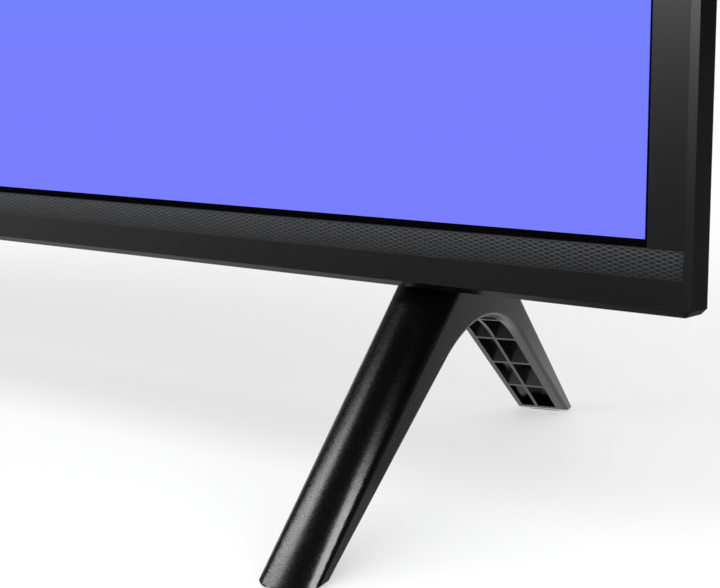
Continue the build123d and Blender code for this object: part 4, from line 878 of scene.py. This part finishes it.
class TV_OT_back(bpy.types.Operator):
    """Finish the back cover, the wall mount posts and the power button"""
    bl_idname = "tv.back"
    bl_label = "Back cover"

    def execute(self, context):
        colours = context.scene.tv_finish
        dress(plastic("cover grained black", colours.cover, (0.50, 0.60), grain=0.0007, depth=0.00004,
                      specular=0.4, patch=0.06), "rear_cover")
        dress(plastic("button satin black", scaled(colours.bezel, 2.5), (0.32, 0.38)), "power_button")
        dress(metal("zinc sheet", (0.60, 0.61, 0.62), (0.30, 0.42)), "back_pan", "leg_brackets",
              "wall_mount_posts")
        return {"FINISHED"}


class TV_OT_screws(bpy.types.Operator):
    """Make the cover screws and the leg screws with their cross recesses"""
    bl_idname = "tv.screws"
    bl_label = "Screws"

    def execute(self, context):
        black = metal("blackened steel", (0.10, 0.10, 0.105), (0.32, 0.42), line=0.0002, stretch=1.0)
        boxes = islands("cover_screws")
        head_radius, head_height, shank_radius = 2.9 * MM, 2.0 * MM, 1.45 * MM
        seat, tip = boxes[0][1].y - head_height, boxes[0][0].y
        template = screw_template(head_radius, head_height, shank_radius, seat - tip)
        seats = [Vector(((a.x + b.x) / 2, seat, (a.z + b.z) / 2)) for a, b in boxes]
        mesh = screws_mesh("cover_screw_heads", template, seats, Matrix.Rotation(-math.pi / 2, 4, "X"))
        new_piece("cover_screw_heads", mesh, black, "set", "screw_steel", "cover_screws")
        boxes = islands("leg_screws")
        head_radius, head_height, shank_radius = 3.8 * MM, 2.6 * MM, 2.0 * MM
        seat = boxes[0][0].z + head_height
        template = screw_template(head_radius, head_height, shank_radius, boxes[0][1].z - seat)
        seats = [Vector(((a.x + b.x) / 2, (a.y + b.y) / 2, seat)) for a, b in boxes]
        mesh = screws_mesh("leg_screw_heads", template, seats, Matrix.Rotation(math.pi, 4, "X"))
        new_piece("leg_screw_heads", mesh, black, "set", "screw_steel", "leg_screws")
        dress(black, "board_screws")
        return {"FINISHED"}


class TV_OT_sockets(bpy.types.Operator):
    """Finish the sockets in both bays"""
    bl_idname = "tv.sockets"
    bl_label = "Sockets"

    def execute(self, context):
        dress(metal("nickel shell", (0.66, 0.65, 0.62), (0.22, 0.32), line=0.0001), "hdmi_sockets",
              "usb_sockets", "network_socket", "aerial_socket")
        dress(plastic("moulded black", (0.02, 0.02, 0.02), (0.35, 0.45)), "audio_socket", "optical_socket",
              "power_inlet")
        dress(metal("plated pin", (0.80, 0.72, 0.50), (0.16, 0.24), line=0.0001, stretch=4.0), "inlet_pins")
        return {"FINISHED"}


class TV_OT_inside(bpy.types.Operator):
    """Finish the boards, the backlight and the speakers"""
    bl_idname = "tv.inside"
    bl_label = "Inside"

    def execute(self, context):
        dress(plastic("board lacquer", (0.02, 0.10, 0.05), (0.25, 0.35), grain=0.0015, patch=0.004,
                      drift=0.7), "main_board", "power_board", "timing_board", "wireless_board",
              "button_board", "receiver_board")
        dress(plastic("part black", (0.025, 0.025, 0.025), (0.4, 0.5)), "main_board_parts",
              "power_board_parts", "power_switch", "switch_stem", "receiver_sensor")
        dress(plastic("inner plastic", (0.05, 0.05, 0.05), (0.5, 0.6)), "middle_frame", "left_speaker_box",
              "right_speaker_box")
        dress(plastic("diffusing white", (0.82, 0.83, 0.85), (0.5, 0.6), patch=0.1, drift=0.98),
              "optical_films", "diffuser_plate", "reflector_sheet")
        dress(plastic("lens clear", (0.85, 0.87, 0.9), (0.05, 0.1), drift=0.97), "led_lenses")
        dress(metal("bar aluminium", (0.77, 0.78, 0.79), (0.3, 0.4)), "led_bars", "heat_sink")
        dress(plastic("ribbon film", (0.75, 0.75, 0.72), (0.3, 0.4), drift=0.95), "panel_cable")
        dress(plastic("frame black", (0.03, 0.03, 0.03), (0.35, 0.45)), "left_speaker_frame",
              "right_speaker_frame")
        dress(metal("magnet iron", (0.22, 0.22, 0.23), (0.5, 0.65), stretch=1.0), "left_speaker_magnet",
              "right_speaker_magnet")
        dress(plastic("cone paper", (0.03, 0.03, 0.03), (0.8, 0.9), grain=0.0009, depth=0.00008),
              "left_speaker_cone", "right_speaker_cone")
        dress(plastic("surround rubber", (0.02, 0.02, 0.02), (0.6, 0.7)), "left_speaker_surround",
              "right_speaker_surround")
        return {"FINISHED"}


class TV_PT_panel(bpy.types.Panel):
    bl_idname = "TV_PT_panel"
    bl_label = "Flat screen tv"
    bl_space_type = "VIEW_3D"
    bl_region_type = "UI"
    bl_category = "Tv"

    def draw(self, context):
        layout = self.layout
        for name, group in SETTINGS:
            column = layout.column(heading=name.replace("tv_", "").title())
            for key in group.__annotations__:
                column.prop(getattr(context.scene, name), key)
        for operator in OPERATORS:
            layout.operator(operator.bl_idname)


SETTINGS = (("tv_camera", TvCamera), ("tv_screen", TvScreen), ("tv_strip", TvStrip),
            ("tv_finish", TvFinish), ("tv_studio", TvStudio))
OPERATORS = (TV_OT_stage, TV_OT_front, TV_OT_strip, TV_OT_legs, TV_OT_back, TV_OT_screws, TV_OT_sockets,
             TV_OT_inside)


def register():
    for cls in (*(group for _, group in SETTINGS), *OPERATORS, TV_PT_panel):
        bpy.utils.register_class(cls)
    for name, group in SETTINGS:
        setattr(bpy.types.Scene, name, bpy.props.PointerProperty(type=group))


def unregister():
    for name, _ in SETTINGS:
        delattr(bpy.types.Scene, name)
    for cls in reversed((*(group for _, group in SETTINGS), *OPERATORS, TV_PT_panel)):
        bpy.utils.unregister_class(cls)


def main():
    register()
    for operator in OPERATORS:
        area, step = operator.bl_idname.split(".")
        if getattr(getattr(bpy.ops, area), step)() != {"FINISHED"}:
            raise RuntimeError(f"{operator.bl_label} did not finish")


if __name__ == "__main__":
    main()
